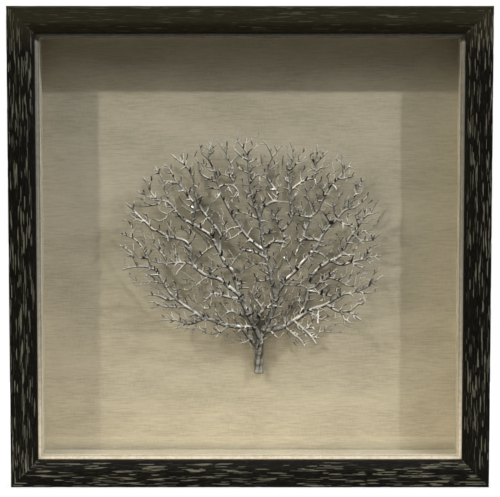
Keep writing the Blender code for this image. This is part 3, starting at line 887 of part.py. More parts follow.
def main():
    clear_scene()
    mats = {
        "wood": material("dark_wood", WOOD, 0.5),
        "leaf": material("champagne_leaf", LEAF, 0.35, 0.9),
        "linen": material("linen", LINEN, 0.9),
        "board": material("backing_board", BOARD, 0.8),
        "steel": material("steel", STEEL, 0.35, 1.0),
        "rubber": material("rubber", RUBBER, 0.8),
        "glass": material("glass", CLEAR, 0.0, 0.0, 0.2),
        "coral": material("silvered_coral", CORAL, 0.38, 0.6),
    }
    make_frame(mats)
    make_sheets(mats)
    make_points(mats)
    make_hanger("hanger_left", -127.0, mats["steel"])
    make_hanger("hanger_right", 127.0, mats["steel"])
    make_bumper("bumper_left", -HALF + RAIL_WOOD, mats["rubber"])
    make_bumper("bumper_right", HALF - RAIL_WOOD, mats["rubber"])
    make_coral(mats["coral"])


main()
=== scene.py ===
"""Framed fan coral: a silvered branching coral on linen, behind glass in a dark box frame.

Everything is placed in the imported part's own frame, with the front facing -Y. Sizes are
named in millimetres, apart from the stage's, and MM turns them to metres.
"""
import math
import random

import bmesh
import bpy
import numpy as np
from bpy.props import FloatProperty, FloatVectorProperty, IntProperty, PointerProperty
from mathutils import Matrix, Vector


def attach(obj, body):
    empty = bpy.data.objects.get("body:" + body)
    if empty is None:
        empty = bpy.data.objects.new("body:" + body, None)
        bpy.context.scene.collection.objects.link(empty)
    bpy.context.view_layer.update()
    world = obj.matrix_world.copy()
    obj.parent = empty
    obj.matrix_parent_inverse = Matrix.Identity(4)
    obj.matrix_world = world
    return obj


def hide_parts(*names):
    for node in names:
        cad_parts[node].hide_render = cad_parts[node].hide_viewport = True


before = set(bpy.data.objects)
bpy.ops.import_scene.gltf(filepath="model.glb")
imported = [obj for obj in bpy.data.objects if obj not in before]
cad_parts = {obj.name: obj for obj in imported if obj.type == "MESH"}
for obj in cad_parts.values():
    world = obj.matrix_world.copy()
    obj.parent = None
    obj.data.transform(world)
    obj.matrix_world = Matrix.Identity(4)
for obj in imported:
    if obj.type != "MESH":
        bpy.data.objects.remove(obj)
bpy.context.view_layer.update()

bl_info = {
    "name": "Framed fan coral",
    "version": (1, 0, 0),
    "blender": (4, 5, 0),
    "location": "3D View > Sidebar > Fan coral",
    "description": "Dresses a box frame with stained wood, leaf, linen, glass and a silvered coral",
    "category": "Object",
}

MM = 0.001
SIDES = ("bottom", "right", "top", "left")

# The frame's measures as the solids have them; depths count back from its front
FRAME_SIZE = 508.0
HALF = FRAME_SIZE / 2
FRONT_Y = -31.5
RAIL_DEPTH = 60.0
RAIL_WIDTH = 28.7
RAIL_WOOD = 22.0
LIP_DEPTH = 9.7
SLOPE_FROM = 17.0
PANEL_FRONT = 50.3
SLIP_FRONT = 10.0
GROOVE = SLIP_FRONT + 1.0

# A rail's section: how far in from its outer edge, and how far back from its front
RAIL_OUTSIDE = [(0, RAIL_DEPTH), (0, 1.8)]
RAIL_FACE = [(0, 1.8), (0.5, 0.5), (1.8, 0), (SLOPE_FROM, 0), (SLOPE_FROM + 2.5, 0.5),
             (RAIL_WIDTH - 1.4, 3.6), (RAIL_WIDTH - 0.3, 4.4), (RAIL_WIDTH, 5.4),
             (RAIL_WIDTH, LIP_DEPTH)]
RAIL_REBATE = [(RAIL_WIDTH, LIP_DEPTH), (RAIL_WOOD, LIP_DEPTH), (RAIL_WOOD, RAIL_DEPTH)]

# The rails' carved marks, worn mitres and faded top
MARK_HALF_LENGTH = (4.0, 13.0)
MARK_HALF_WIDTH = (0.36, 0.6)
MARK_TILT = 0.03
MARK_STEEPNESS = 2.2
MARKED_ACROSS = RAIL_DEPTH + SLOPE_FROM + 9.0
UNMARKED_ROWS = 4
TOP_MARK_STRENGTH = 0.45
GRAIN_SHIFT = 3.1
WEAR_WIDTH = 0.45
WEAR_PATCHES = 60
FADE_LOW = 460.0
FADE_HIGH = 490.0
RAIL_COLUMNS = 340

# The coral's sketch: where its foot stands, how it scales and how far out its twigs may reach
FOOT_X = 9.0
FOOT_Z = 118.8
CORAL_SCALE = 1.02
ROUTE_STEP = 1.3 * MM
NEAR_PANEL = 1.8
NEAR_GLASS = 30.8

# How the limbs swell and end, and how thick a twig is at its tip
SWELLING = 0.07
UNEVENNESS = 0.035
BLUNT_END = 2.2
SPUR_TIP = 0.48 * MM
TWIG_TIP = 0.52 * MM

# The twigs that fill the fan's gaps: how far from other twigs, how far out, how bowed
GAP_RANGE = (2.8, 26.0)
ROOT_NEAREST = 5.0
TURN_COST = 7.0
OUT_CHANGE = (-9.0, 11.0)
OUT_RANGE = (2.5, 29.5)
TWIG_BOW = 0.13

# The seeds of every random draw
RAIL_SEED = 40
WEAR_SEED = 77
CORAL_SEED = 21
LIMB_SEED = 900

# The stage, in metres
FLOOR_HALF_WIDTH = 0.75
FLOOR_NEAR = -0.3
FLOOR_FAR = 0.7
FLOOR_TOP = -0.0004
LAMP_AIM = (0.0, 0.0, 0.25)
KEY_PLACE = (3.3, -2.24, 3.43)
KEY_SIZE = (0.14,)
BACK_PLACE = (0.0, 1.7, 1.45)
BACK_SIZE = (1.0,)
SHEEN_PLACE = (0.0, -2.6, 2.9)
SHEEN_SIZE = (2.4, 1.0)
STRIP_PLACE = (0.0, -0.16, 0.012)
STRIP_AIM = (0.0, 0.02, 0.03)
STRIP_SIZE = (0.6, 0.05)
CAMERA_DISTANCE = 2.0
CAMERA_ELEVATION = math.radians(4.65)
CAMERA_AIM = (0.0, 0.0, 0.2522)
WHITE = (1.0, 1.0, 1.0)
WARM_WHITE = (1.0, 0.95, 0.8)
LINEN_WHITE = (1.0, 0.86, 0.66)


# The coral's limbs. Each route is (radius at its root, radius at its tip, points), and a
# point is (right of the foot, above the foot, out from the panel). The first route is the
# limb and the others are the side branches that grow from it.
STEM = [
    (4.3, 3.3, [(-0.2, -2.8, 4.8), (0.5, 10, 5.0), (1.3, 20, 5.6), (2.0, 30, 6.6), (2.2, 37, 7.4)]),
]
LEFT = [
    (2.9, 2.2, [(1, 34, 7.1), (-2, 42, 7.6), (-4.8, 48, 8.2), (-7.5, 54, 8.8), (-10.2, 60, 9.4),
        (-13, 66, 9.8), (-16, 71.5, 10.2), (-19, 78, 10.7), (-21, 84, 11.2)]),
    (1.5, 0.7, [(-11.5, 59.5, 9.5), (-16.2, 60, 14), (-20.4, 60.8, 17), (-24.6, 63.3, 19), (-28, 65, 20),
        (-31.6, 64.7, 20.5), (-34.4, 67.5, 20)]),
    (1.0, 0.7, [(-30.5, 65.3, 20.3), (-34, 62.3, 22), (-38, 59, 24)]),
    (1.5, 0.8, [(-9.5, 58.5, 9.3), (-8.8, 60.5, 15), (-6, 63, 19), (-5, 65.5, 22)]),
    (1.0, 0.6, [(-8, 61.3, 16), (-9.5, 62, 18.5), (-11, 62.5, 21)]),
    (1.3, 0.7, [(-19, 79, 10.8), (-17, 81, 16), (-15, 84, 21)]),
    (1.1, 0.7, [(-18, 76, 10.5), (-16, 77, 15), (-13.5, 75.5, 19)]),
]
MIDDLE = [
    (2.0, 1.6, [(-4.5, 48, 8.2), (-2, 51.5, 10.5), (-0.3, 56, 13), (1.8, 61, 15), (5.4, 66.3, 16)]),
    (1.1, 0.7, [(5, 65.6, 16), (1.5, 71, 16.5), (-2, 75, 17), (-5, 79, 17.5), (-6, 86, 18.5)]),
    (1.1, 0.6, [(5, 65.6, 16), (9.5, 69, 16.8), (13, 71.5, 17.3), (17, 74.5, 18)]),
    (1.3, 0.9, [(0.5, 58, 13.5), (-0.5, 60, 18), (-0.2, 62, 22)]),
]
LOW_LEFT = [
    (2.4, 1.8, [(0, 23, 5.8), (-4, 28, 7.2), (-7.3, 32.5, 8.4), (-10.8, 38, 9.6), (-14.5, 43, 10.8),
        (-18.5, 46.8, 11.8), (-25, 48.4, 12.8), (-31, 49, 13.6), (-38, 50.6, 14.4), (-44, 53, 15),
        (-51, 55.8, 15.6), (-58, 57.4, 16)]),
    (1.3, 0.7, [(-18.5, 46.8, 11.8), (-13.5, 48.3, 15), (-8, 48.8, 18)]),
    (0.9, 0.5, [(-21, 47.5, 12.3), (-22.5, 51, 14), (-23, 55, 16)]),
    (1.0, 0.6, [(-8.5, 34.5, 8.9), (-13, 32, 12), (-20, 30, 15)]),
    (1.2, 0.7, [(-33, 49.4, 13.8), (-37, 54, 16), (-40.5, 58.5, 18), (-42, 62, 19), (-42.3, 65.5, 20)]),
    (1.1, 0.6, [(-29, 48.7, 13.5), (-35, 46, 16), (-40, 42.5, 18.5), (-44.5, 37, 21)]),
    (0.8, 0.5, [(-40, 42.5, 18.5), (-39.5, 43.3, 21), (-38.5, 43.5, 23)]),
    (1.4, 0.7, [(-55, 57, 15.9), (-62, 55, 18), (-67, 53, 20), (-73, 52, 22), (-79, 54, 23),
        (-85, 55.5, 24), (-90, 59.5, 25)]),
    (0.9, 0.5, [(-74.4, 52.3, 22.2), (-77, 56.5, 24), (-80, 59, 25)]),
    (0.8, 0.6, [(-77, 53.2, 22.7), (-78.8, 51.5, 24.5), (-80, 50.5, 26)]),
    (0.9, 0.5, [(-86, 55.8, 24.2), (-92, 56, 25), (-98, 56.5, 25.5), (-103, 56, 26)]),
    (1.1, 0.6, [(-56, 57.4, 16), (-58.5, 61.5, 18.5), (-57.8, 65.5, 19.5), (-56, 70, 20)]),
    (0.8, 0.5, [(-57, 68, 19.8), (-53, 68, 21), (-49.5, 68.7, 22)]),
]
FAR_LEFT = [
    (1.8, 0.8, [(-57, 57.2, 16), (-62.5, 60, 16.2), (-67.4, 64.2, 16.6), (-72.5, 67.5, 17),
        (-78, 71, 17.4), (-82.5, 75, 17.6), (-88, 79.3, 17.8), (-92, 83.5, 18), (-96, 89, 18.2),
        (-99.8, 95, 18.4), (-103.8, 102.5, 18.5), (-108, 107.8, 18.5), (-112.5, 109.8, 18.4),
        (-118.5, 111.3, 18.2), (-126, 112, 18), (-133, 111, 17.8), (-143, 108.5, 17.5)]),
    (1.2, 0.5, [(-112, 109.6, 18.4), (-113.5, 115, 19), (-116, 122, 19.5), (-118.5, 127, 20),
        (-121, 131, 20), (-125, 136.3, 20), (-129.5, 141, 19.5), (-135, 143.5, 19), (-146, 148, 18)]),
    (0.8, 0.5, [(-119.5, 129.5, 20), (-117.8, 133, 22), (-117, 136, 23)]),
    (1.0, 0.5, [(-126.5, 112, 18), (-128.3, 116.2, 19), (-131, 121, 20), (-133, 126, 20.5),
        (-135.3, 128.8, 20.5), (-139.5, 131.3, 20), (-146, 135, 19)]),
    (0.7, 0.5, [(-132, 123.5, 20.2), (-135, 124.5, 21), (-138, 126, 21.5)]),
    (1.3, 0.6, [(-87, 78.4, 17.8), (-91, 77.2, 18.5), (-95, 77, 19.5), (-98.5, 78.2, 20.5),
        (-102, 80.5, 21.5), (-106, 82, 22), (-111, 82.4, 22.5), (-115, 82.5, 23), (-120, 80.3, 24)]),
    (1.0, 0.5, [(-75, 69, 17.2), (-81, 69, 18), (-87, 68.8, 19), (-93, 69.5, 20), (-97, 69, 20.5),
        (-99.5, 66.2, 21)]),
    (0.8, 0.5, [(-95, 69.3, 20.3), (-100.5, 70.3, 21), (-106.6, 73.6, 22), (-110, 77.7, 23)]),
    (0.7, 0.5, [(-93, 69.5, 20), (-96, 72.5, 21.5), (-98.5, 74.5, 23)]),
    (0.9, 0.5, [(-99.5, 94.7, 18.4), (-105, 94.8, 19.5), (-109.4, 91.7, 21)]),
    (0.8, 0.5, [(-104, 94.8, 19.3), (-111, 96.3, 20.5), (-117, 96.2, 21.5), (-124, 95.8, 22)]),
    (1.0, 0.5, [(-88, 79.5, 17.8), (-84.5, 84.5, 16.5), (-85, 89.5, 15.5), (-87.5, 93, 15)]),
    (0.8, 0.5, [(-112, 109.6, 18.4), (-116, 108.3, 20.5), (-118.5, 107.6, 22)]),
    (0.9, 0.6, [(-99, 94, 18.4), (-97, 96.5, 21), (-96, 101.5, 24)]),
]
LEFT_INNER = [
    (1.7, 0.8, [(-18.3, 76, 10.5), (-22.5, 77.5, 12), (-27, 78, 13.5), (-32, 79.3, 15), (-37, 81, 17),
        (-42, 83, 19), (-47, 83.8, 21), (-50.5, 81.8, 23), (-53.5, 78.8, 25), (-57, 75, 26.5)]),
    (0.8, 0.5, [(-53.5, 78.8, 25), (-56.5, 79.5, 26.5), (-59, 81.5, 27.5)]),
    (0.9, 0.6, [(-38, 81.4, 17.4), (-36.8, 84, 20), (-37, 86.5, 23)]),
    (0.8, 0.5, [(-46, 83.7, 20.6), (-45, 81, 23), (-44, 79, 25)]),
]
MID_LEFT = [
    (2.1, 1.5, [(-20.5, 82, 11.2), (-24.5, 85, 11.4), (-28.5, 87.8, 11.6), (-33, 92, 11.9),
        (-38, 96, 12.2), (-42.5, 98.7, 12.5), (-47, 99.8, 12.8), (-52, 101, 13), (-57, 103.2, 13.3),
        (-61, 105.7, 13.6), (-65, 109, 13.9), (-69.5, 114.5, 14.2)]),
    (1.3, 0.6, [(-68.5, 113.3, 14.2), (-74, 115.6, 14.8), (-80, 115.8, 15.4), (-86, 115.8, 16),
        (-92, 115.6, 16.5), (-98, 114.8, 17), (-102, 115, 17.3), (-106, 116.5, 17.6), (-112, 118, 18)]),
    (1.1, 0.6, [(-75.8, 115.7, 15), (-80.7, 110.6, 17.5), (-84, 107, 19.5), (-86.6, 103, 21.5)]),
    (1.0, 0.5, [(-95.4, 115.3, 16.8), (-97, 119, 17.5), (-99.5, 123, 18), (-102, 127, 18.5),
        (-106.5, 132.3, 19), (-110.5, 137, 19.5)]),
    (0.8, 0.5, [(-100.5, 124.5, 18.2), (-99.3, 128, 19), (-98.8, 132, 20)]),
    (0.8, 0.5, [(-85, 115.8, 16), (-87.5, 113, 18), (-88.5, 110.5, 19.5)]),
    (1.2, 0.6, [(-68.5, 113.3, 14.2), (-65.5, 118.5, 15.5), (-60, 123.5, 17), (-56, 127, 18),
        (-51.5, 131, 19), (-47, 133.8, 20)]),
    (0.9, 0.5, [(-52, 101, 13), (-57, 98.5, 15.5), (-61.5, 95.5, 17.5), (-66, 91, 19)]),
]
HIGH_LEFT = [
    (1.6, 0.8, [(-69, 113.8, 14.2), (-71, 121, 14.6), (-70.3, 127.5, 15), (-72.3, 133.4, 15.4),
        (-75.8, 137.5, 15.8), (-80, 140, 16.2), (-85.6, 141.4, 16.6), (-90.5, 142.3, 17),
        (-95.5, 143.3, 17.4), (-100, 146.3, 17.8), (-104.5, 149, 18.2), (-108.5, 150, 18.5),
        (-111.5, 152, 18.7), (-115.5, 156.2, 19), (-120, 160, 19.3), (-124, 164, 19.6),
        (-128.5, 169, 19.8), (-133, 173.5, 20), (-139, 179, 20)]),
    (0.9, 0.5, [(-73.5, 135, 15.6), (-71.3, 136.5, 18), (-69.5, 139, 20.5)]),
    (0.9, 0.6, [(-95.5, 143.3, 17.4), (-94.8, 140.5, 20), (-94.2, 138.3, 22.5)]),
    (0.9, 0.5, [(-119, 159.3, 19.2), (-123.5, 160, 20.8), (-128, 161.8, 22), (-132.5, 165.3, 23)]),
    (0.8, 0.5, [(-127.5, 167.8, 19.8), (-130.8, 168.3, 21.5), (-133, 170, 23)]),
    (0.7, 0.4, [(-117, 157.5, 19.1), (-117, 161, 18), (-116.5, 165, 17)]),
]
UPPER_LEFT = [
    (2.0, 1.6, [(-20.8, 82.5, 11.1), (-22, 88, 11.2), (-23.3, 94, 11), (-25.2, 100, 10.9),
        (-27.3, 105.6, 10.9), (-30.5, 110.3, 10.9), (-33.6, 114, 11), (-36.4, 118, 11.1),
        (-39, 122.5, 11.2), (-40.8, 127, 11.3), (-43.5, 132, 11.6), (-46.2, 137, 11.9),
        (-48.5, 142, 12.3), (-52, 145.5, 12.7), (-56, 148.3, 13), (-61, 151.4, 13.3), (-66, 154.7, 13.7),
        (-71, 157.3, 14.1)]),
    (0.9, 0.6, [(-22.6, 91, 11.1), (-18, 93, 14), (-13.5, 94.7, 17)]),
    (0.9, 0.6, [(-22, 88, 11.2), (-16, 89, 15), (-9.5, 89.5, 19)]),
    (1.3, 0.6, [(-30.5, 110.3, 10.9), (-35, 110.8, 12), (-40, 110.4, 13.5), (-44.5, 108.7, 15.5),
        (-49, 105.5, 17.5), (-53, 102.3, 19.5)]),
    (0.8, 0.5, [(-50, 104.6, 18), (-49.5, 108, 20), (-47.5, 111, 21.5)]),
    (1.3, 0.7, [(-39, 122.5, 11.2), (-38.3, 126, 14), (-38, 130, 17.5)]),
    (0.8, 0.5, [(-39.5, 123.3, 11.3), (-43, 124.3, 14), (-47.5, 123.8, 17)]),
    (1.0, 0.6, [(-68.5, 156, 13.9), (-70, 151, 13), (-71.5, 145.5, 12), (-73.2, 140, 11)]),
]
FAR_UPPER_LEFT = [
    (1.5, 0.6, [(-70, 156.8, 14), (-76.5, 160.2, 14.5), (-80.7, 162.5, 14.9), (-84.2, 167, 15.3),
        (-87, 171, 15.7), (-90.3, 175.5, 16.1), (-94.3, 179, 16.5), (-98, 180.4, 17), (-102, 180.8, 17.5),
        (-106.6, 181.8, 17.8), (-110, 183.7, 18), (-115, 184.8, 18.3), (-119, 187.8, 18.6),
        (-123, 188.8, 18.8), (-127.5, 192.5, 19)]),
    (1.0, 0.5, [(-106, 181.7, 17.8), (-111, 188, 18.2), (-114.3, 194.3, 18.5), (-117, 200, 18.5),
        (-120.3, 206.5, 18)]),
    (0.7, 0.5, [(-113.8, 193.5, 18.4), (-113.5, 197, 20), (-112.5, 201, 21.5)]),
    (1.0, 0.5, [(-101, 180.8, 17.4), (-106.6, 177.2, 18.5), (-112, 176, 19.5), (-118, 175, 20.5),
        (-124, 175, 21), (-129, 176.5, 21.5)]),
    (0.7, 0.5, [(-111, 176.2, 19.3), (-115, 178, 21), (-119, 178.5, 22)]),
    (0.9, 0.5, [(-94, 178.8, 16.5), (-95, 186, 17), (-98.2, 192.8, 17.5), (-101.5, 196.5, 18)]),
    (0.7, 0.5, [(-117, 186.3, 18.5), (-119.5, 190.5, 20), (-122.5, 194.5, 21)]),
    (1.0, 0.6, [(-88, 172.3, 15.8), (-92.6, 169, 17.5), (-94.7, 165.5, 19), (-97.5, 161.5, 20.5)]),
    (0.8, 0.5, [(-94, 167, 18.3), (-98, 168.3, 20), (-102, 169.8, 21.5)]),
    (0.8, 0.5, [(-96.5, 163, 20), (-102, 160, 22), (-107, 161, 23.5)]),
    (0.7, 0.4, [(-97.5, 180.3, 16.9), (-97, 177, 18.5), (-95.5, 173, 20)]),
]
LEFT_CROWN = [
    (1.6, 0.7, [(-68.3, 155.8, 13.9), (-68.6, 161, 15.5), (-67.8, 167, 17), (-66.3, 172.5, 18),
        (-67.2, 177.5, 18.5), (-70.5, 182, 18.8), (-74, 186.5, 19), (-77.2, 191.4, 19), (-81, 196, 18.8),
        (-85, 199.7, 18.5), (-88.3, 206, 18.3), (-92.6, 213.5, 18), (-99, 219.3, 17.5)]),
    (1.0, 0.6, [(-74, 186.6, 19), (-71.5, 191, 20.5), (-68, 193.5, 22)]),
    (0.9, 0.6, [(-77, 191, 19), (-81, 191.2, 21), (-85, 190.8, 23)]),
    (1.0, 0.5, [(-84, 199, 18.6), (-92, 201, 19), (-99.5, 202.2, 19.5), (-101.5, 206.5, 19.5),
        (-105, 211.7, 19.5), (-108, 217, 19)]),
    (0.6, 0.45, [(-104, 210.5, 19.5), (-106.5, 209.5, 20.5), (-108.5, 208.8, 21.5)]),
    (0.7, 0.4, [(-92.6, 213.5, 18), (-91.5, 217, 19), (-92, 220, 20)]),
]
INNER_LEFT = [
    (1.7, 0.7, [(-41, 127.5, 11.3), (-40.3, 133.5, 9.2), (-39.8, 139.5, 8.1), (-41, 146.5, 7.7),
        (-45.5, 153, 7.6), (-50.5, 159, 7.8), (-54.7, 163.9, 8.2), (-58, 168.5, 8.7), (-61, 173.3, 9.2),
        (-63.3, 178.7, 9.6), (-65, 184.3, 10), (-66.7, 190.5, 10.5), (-67, 197, 11.2), (-68, 202, 12),
        (-69.5, 206.5, 12.8), (-72.3, 211.7, 13.6), (-75.3, 216.6, 14.4), (-79.3, 220.3, 15),
        (-84, 223.5, 15.5), (-91, 229.5, 16)]),
    (1.0, 0.6, [(-54, 163, 8.1), (-56.5, 159.5, 12), (-58.5, 155.5, 17)]),
    (0.8, 0.5, [(-64.2, 181.5, 9.8), (-62, 183.5, 11.5), (-59.8, 185.5, 13)]),
    (0.9, 0.5, [(-67, 196, 11.1), (-64, 195.5, 13), (-61.5, 192.5, 15)]),
    (0.6, 0.45, [(-75.8, 217, 14.5), (-79, 214.5, 16), (-82, 213, 17)]),
]
TRUNK = [
    (2.9, 2.4, [(3, 34, 7.1), (5.2, 41, 7.8), (8, 48, 8.4), (11.5, 56, 9), (14.6, 63, 9.4), (17, 70, 9.8),
        (18.3, 76, 10), (18.5, 81, 10.2)]),
    (1.2, 0.6, [(4.6, 39.5, 7.6), (6.4, 43, 12), (9, 48, 15), (11, 54, 17)]),
    (0.9, 0.5, [(16, 67, 9.6), (21, 69.5, 8), (26.5, 72, 7)]),
    (1.0, 0.6, [(11.5, 56, 9), (15, 56.5, 13), (18.5, 58.5, 16), (22.5, 61.5, 18)]),
]
CENTRE = [
    (2.1, 1.5, [(18.4, 79.5, 10.1), (16.7, 85, 10.1), (15.5, 90, 10), (14.5, 95.5, 10), (13.3, 101.5, 10),
        (12, 107, 10), (10.3, 112, 10), (8.5, 117.5, 10), (7.6, 123, 10.1), (6.3, 129.4, 10.3),
        (5, 136.4, 10.6), (4.2, 143.4, 10.9), (3.4, 150, 11.2), (2.6, 156.5, 11.6), (1.4, 163, 12)]),
    (1.4, 0.6, [(8, 120.5, 10), (4, 122.8, 12), (0, 125.2, 14), (-5.5, 127.5, 16), (-11, 128.5, 18),
        (-16, 128.7, 19.5), (-19, 126, 20.5), (-22.5, 121.8, 21.5), (-26.5, 117, 22),
        (-29.3, 112.3, 22.5)]),
    (0.9, 0.5, [(-16, 128.7, 19.5), (-19, 131, 21.5), (-20.3, 135.3, 23)]),
    (0.9, 0.6, [(-14, 128.7, 19), (-12, 131, 22), (-10.8, 132.5, 24.5)]),
    (1.1, 0.5, [(10.3, 112, 10), (6.3, 114, 11.5), (2, 114.6, 13), (-3.5, 114, 14.5), (-7, 115.4, 15.5),
        (-9.8, 119.6, 16.5), (-12.6, 121.7, 17.5)]),
    (0.9, 0.5, [(-4.5, 114.2, 14.8), (-9.8, 110.7, 17), (-14.7, 108.4, 19), (-18.5, 104.8, 21)]),
    (0.7, 0.5, [(-14, 108.7, 18.8), (-14.6, 112, 20.5), (-14.7, 115.3, 22)]),
    (0.8, 0.6, [(2.5, 114.6, 12.8), (3, 112.5, 15.5), (3.5, 111, 18)]),
    (1.1, 0.5, [(13.6, 99, 10), (9, 97.5, 12), (4, 96, 14), (0, 96.5, 15.5), (-5, 95, 17.5)]),
    (0.8, 0.5, [(0.5, 96.4, 15.3), (-1.5, 99.5, 17), (-3, 102, 19)]),
    (1.0, 0.5, [(13, 103, 10), (15.5, 107.5, 11.5), (17.5, 112, 12.5), (19, 116, 13.5)]),
    (1.0, 0.5, [(4, 145.5, 11), (9, 146.2, 13), (14, 147.2, 15), (20, 148, 17)]),
    (0.8, 0.5, [(11, 146.6, 13.8), (12, 150, 17), (10.5, 152.8, 19.5)]),
    (0.9, 0.6, [(3.3, 150.5, 11.2), (0, 152, 14.5), (-3.5, 153.5, 18)]),
    (1.1, 0.6, [(1.8, 161, 11.9), (-3, 162.5, 13), (-8, 164.8, 14.5), (-13.5, 167, 16),
        (-19, 169.5, 17.5), (-21.8, 171.3, 19)]),
    (0.8, 0.5, [(-18.5, 169.3, 17.3), (-22, 173.5, 19), (-24.5, 176, 20)]),
    (0.8, 0.5, [(2.4, 158, 11.7), (6, 159.8, 13.5), (9.5, 157.5, 15)]),
]
CROWN = [
    (1.6, 0.6, [(1.6, 162, 12), (-0.8, 168, 12.3), (-3.2, 174, 12.7), (-5, 180, 13.1), (-6.8, 187, 13.5),
        (-8, 193, 13.9), (-8.9, 199, 14.3), (-9.6, 205, 14.7), (-10.1, 211, 15.1), (-10.4, 217, 15.5),
        (-10.4, 223, 16), (-11, 228, 16.5), (-13.5, 233, 17), (-17.5, 238, 17.4), (-20.8, 243.3, 17.7),
        (-21.8, 248.5, 17.9), (-22.2, 253.3, 18)]),
    (1.1, 0.6, [(-8.9, 199.5, 14.3), (-6.8, 202.5, 15.5), (-4, 205.5, 16.5), (0, 208.3, 17.3),
        (4.3, 206.5, 18), (8.5, 203.3, 18.5)]),
    (1.1, 0.5, [(-10.4, 222.5, 16), (-13, 224.3, 17.5), (-16.6, 226.3, 19), (-20, 229, 20.5),
        (-23.7, 233.3, 21.5), (-26.8, 237.5, 22)]),
    (0.9, 0.5, [(-10.1, 209.5, 15), (-14, 211.3, 14.5), (-18, 213, 14), (-22, 215.5, 13.5)]),
    (0.9, 0.5, [(-10.1, 211.5, 15.1), (-7.5, 213.5, 16.5), (-5.5, 217, 18)]),
    (0.8, 0.5, [(-8.5, 196.5, 14.1), (-13, 197.3, 12.8), (-17, 197.3, 11.5)]),
    (0.8, 0.6, [(-7, 187.5, 13.5), (-9.8, 186, 16.5), (-12.8, 183, 19.5)]),
]
TOP_LEFT = [
    (1.7, 1.2, [(6.7, 127.5, 10.2), (2.5, 130, 10.3), (-1, 132.5, 10.5), (-5, 136.3, 10.8),
        (-9.5, 140, 11), (-14, 145, 11.3), (-18, 150.5, 11.6), (-21.3, 155.5, 11.9), (-24, 160.5, 12.2),
        (-27.2, 165.5, 12.5), (-30.5, 170.8, 12.8), (-34, 178, 13.2), (-37.6, 185, 13.6),
        (-39.6, 191, 14), (-41, 196, 14.3)]),
    (1.2, 0.6, [(-20, 153.5, 11.8), (-25, 152.6, 13.5), (-30, 151, 15), (-34.5, 147.5, 16.5),
        (-38, 142.8, 18)]),
    (1.1, 0.6, [(-16.5, 148.5, 11.5), (-20.5, 146, 13), (-25, 143, 14), (-31, 140.2, 14.5),
        (-36, 139.3, 15)]),
    (0.9, 0.6, [(-9, 139.7, 11), (-11.5, 138.5, 14.5), (-14, 136.8, 18)]),
    (1.0, 0.5, [(-40.3, 193.3, 14.1), (-45, 193.4, 15), (-50, 193.7, 16), (-57, 193, 17)]),
    (1.1, 0.6, [(-40.6, 194.5, 14.3), (-38, 196.3, 15.3), (-34, 197.2, 16.3), (-28.5, 197.2, 17.3),
        (-24.3, 195, 18), (-21.8, 190.8, 18.7), (-20.4, 185, 19.3), (-20.2, 179, 19.8)]),
    (0.8, 0.5, [(-33, 197.2, 16.5), (-30.5, 192.5, 18), (-27, 187.8, 19.5)]),
    (0.8, 0.5, [(-39, 189.5, 13.9), (-41.5, 186, 16), (-44, 183, 18)]),
]
TOP_LEFT_TIP = [
    (1.3, 0.6, [(-40.6, 194.5, 14.3), (-43.3, 201.3, 14.6), (-44.9, 207.4, 15), (-46.2, 213, 15.4),
        (-48.9, 218, 15.8), (-51.2, 222.8, 16.2), (-54.7, 226.5, 16.6), (-58.8, 230, 17),
        (-59.8, 235, 17.5), (-61.5, 243, 18)]),
    (1.1, 0.5, [(-43.2, 201, 14.6), (-49.6, 202.6, 15.5), (-54.5, 205.3, 16.3), (-58.7, 208.3, 17),
        (-60.8, 212.3, 17.5), (-61.6, 218, 18), (-64, 223.5, 18.3), (-67, 228.5, 18.5)]),
    (0.9, 0.5, [(-44.3, 205, 14.8), (-39.4, 208.5, 16), (-33.5, 206.8, 17), (-28.5, 204.5, 18),
        (-24.5, 200, 20)]),
    (1.0, 0.5, [(-29.5, 205, 17.8), (-26.8, 209, 17.5), (-27, 214.5, 17), (-29, 220, 17),
        (-31.8, 225.5, 17), (-34.5, 232, 17.3), (-38.5, 237.3, 17.6), (-43.5, 245.5, 18)]),
    (0.7, 0.5, [(-34, 231, 17.2), (-33.3, 236.5, 18.8), (-32.8, 241, 20)]),
    (0.9, 0.5, [(-45.9, 211.5, 15.3), (-49.5, 212.3, 16.8), (-54, 214.5, 18)]),
    (0.9, 0.5, [(-51, 222.5, 16.2), (-51.8, 228, 17.5), (-51.4, 234, 18.5), (-54.5, 241, 19)]),
    (0.7, 0.5, [(-51.5, 233, 18.3), (-47, 237, 19.5), (-43.8, 240, 20.5)]),
    (0.7, 0.5, [(-51.6, 234.5, 18.5), (-48.8, 241, 17.8), (-46, 249.5, 17)]),
]
CENTRE_RIGHT = [
    (1.6, 1.2, [(6, 131.3, 10.4), (9.5, 133.3, 12), (13, 136.3, 13.5), (17, 138, 14.3),
        (21.5, 137.9, 14.6), (25.5, 137.8, 14.3), (26.8, 141, 13.8), (25.8, 145, 13.4),
        (25.3, 148.5, 13.1), (27.7, 151, 12.8), (31, 155, 12.5), (33.8, 159, 12.3), (35.3, 163.5, 12.2),
        (35, 168, 12.1), (34.2, 173, 12), (34, 178, 12), (33.2, 183, 12), (32, 188.5, 12.1)]),
    (1.1, 0.5, [(25.3, 148.5, 13.1), (22.5, 151.5, 14), (20, 157, 15), (18.5, 162.5, 15.5),
        (14.5, 167, 16.5), (12.5, 169, 17.5)]),
    (1.1, 0.6, [(25.5, 137.9, 14.3), (25.2, 133.5, 15), (24, 129.5, 16), (22.8, 126, 17)]),
    (1.2, 0.8, [(25.5, 137.9, 14.3), (27.5, 137, 18), (29, 136.5, 21.5)]),
    (1.1, 0.7, [(25.3, 148.5, 13.1), (25.8, 150.5, 17), (27, 151.5, 20)]),
    (0.9, 0.5, [(34, 178, 12), (36.3, 181.5, 13.5), (38.5, 184.5, 14.5), (40.7, 188.3, 15.5)]),
]
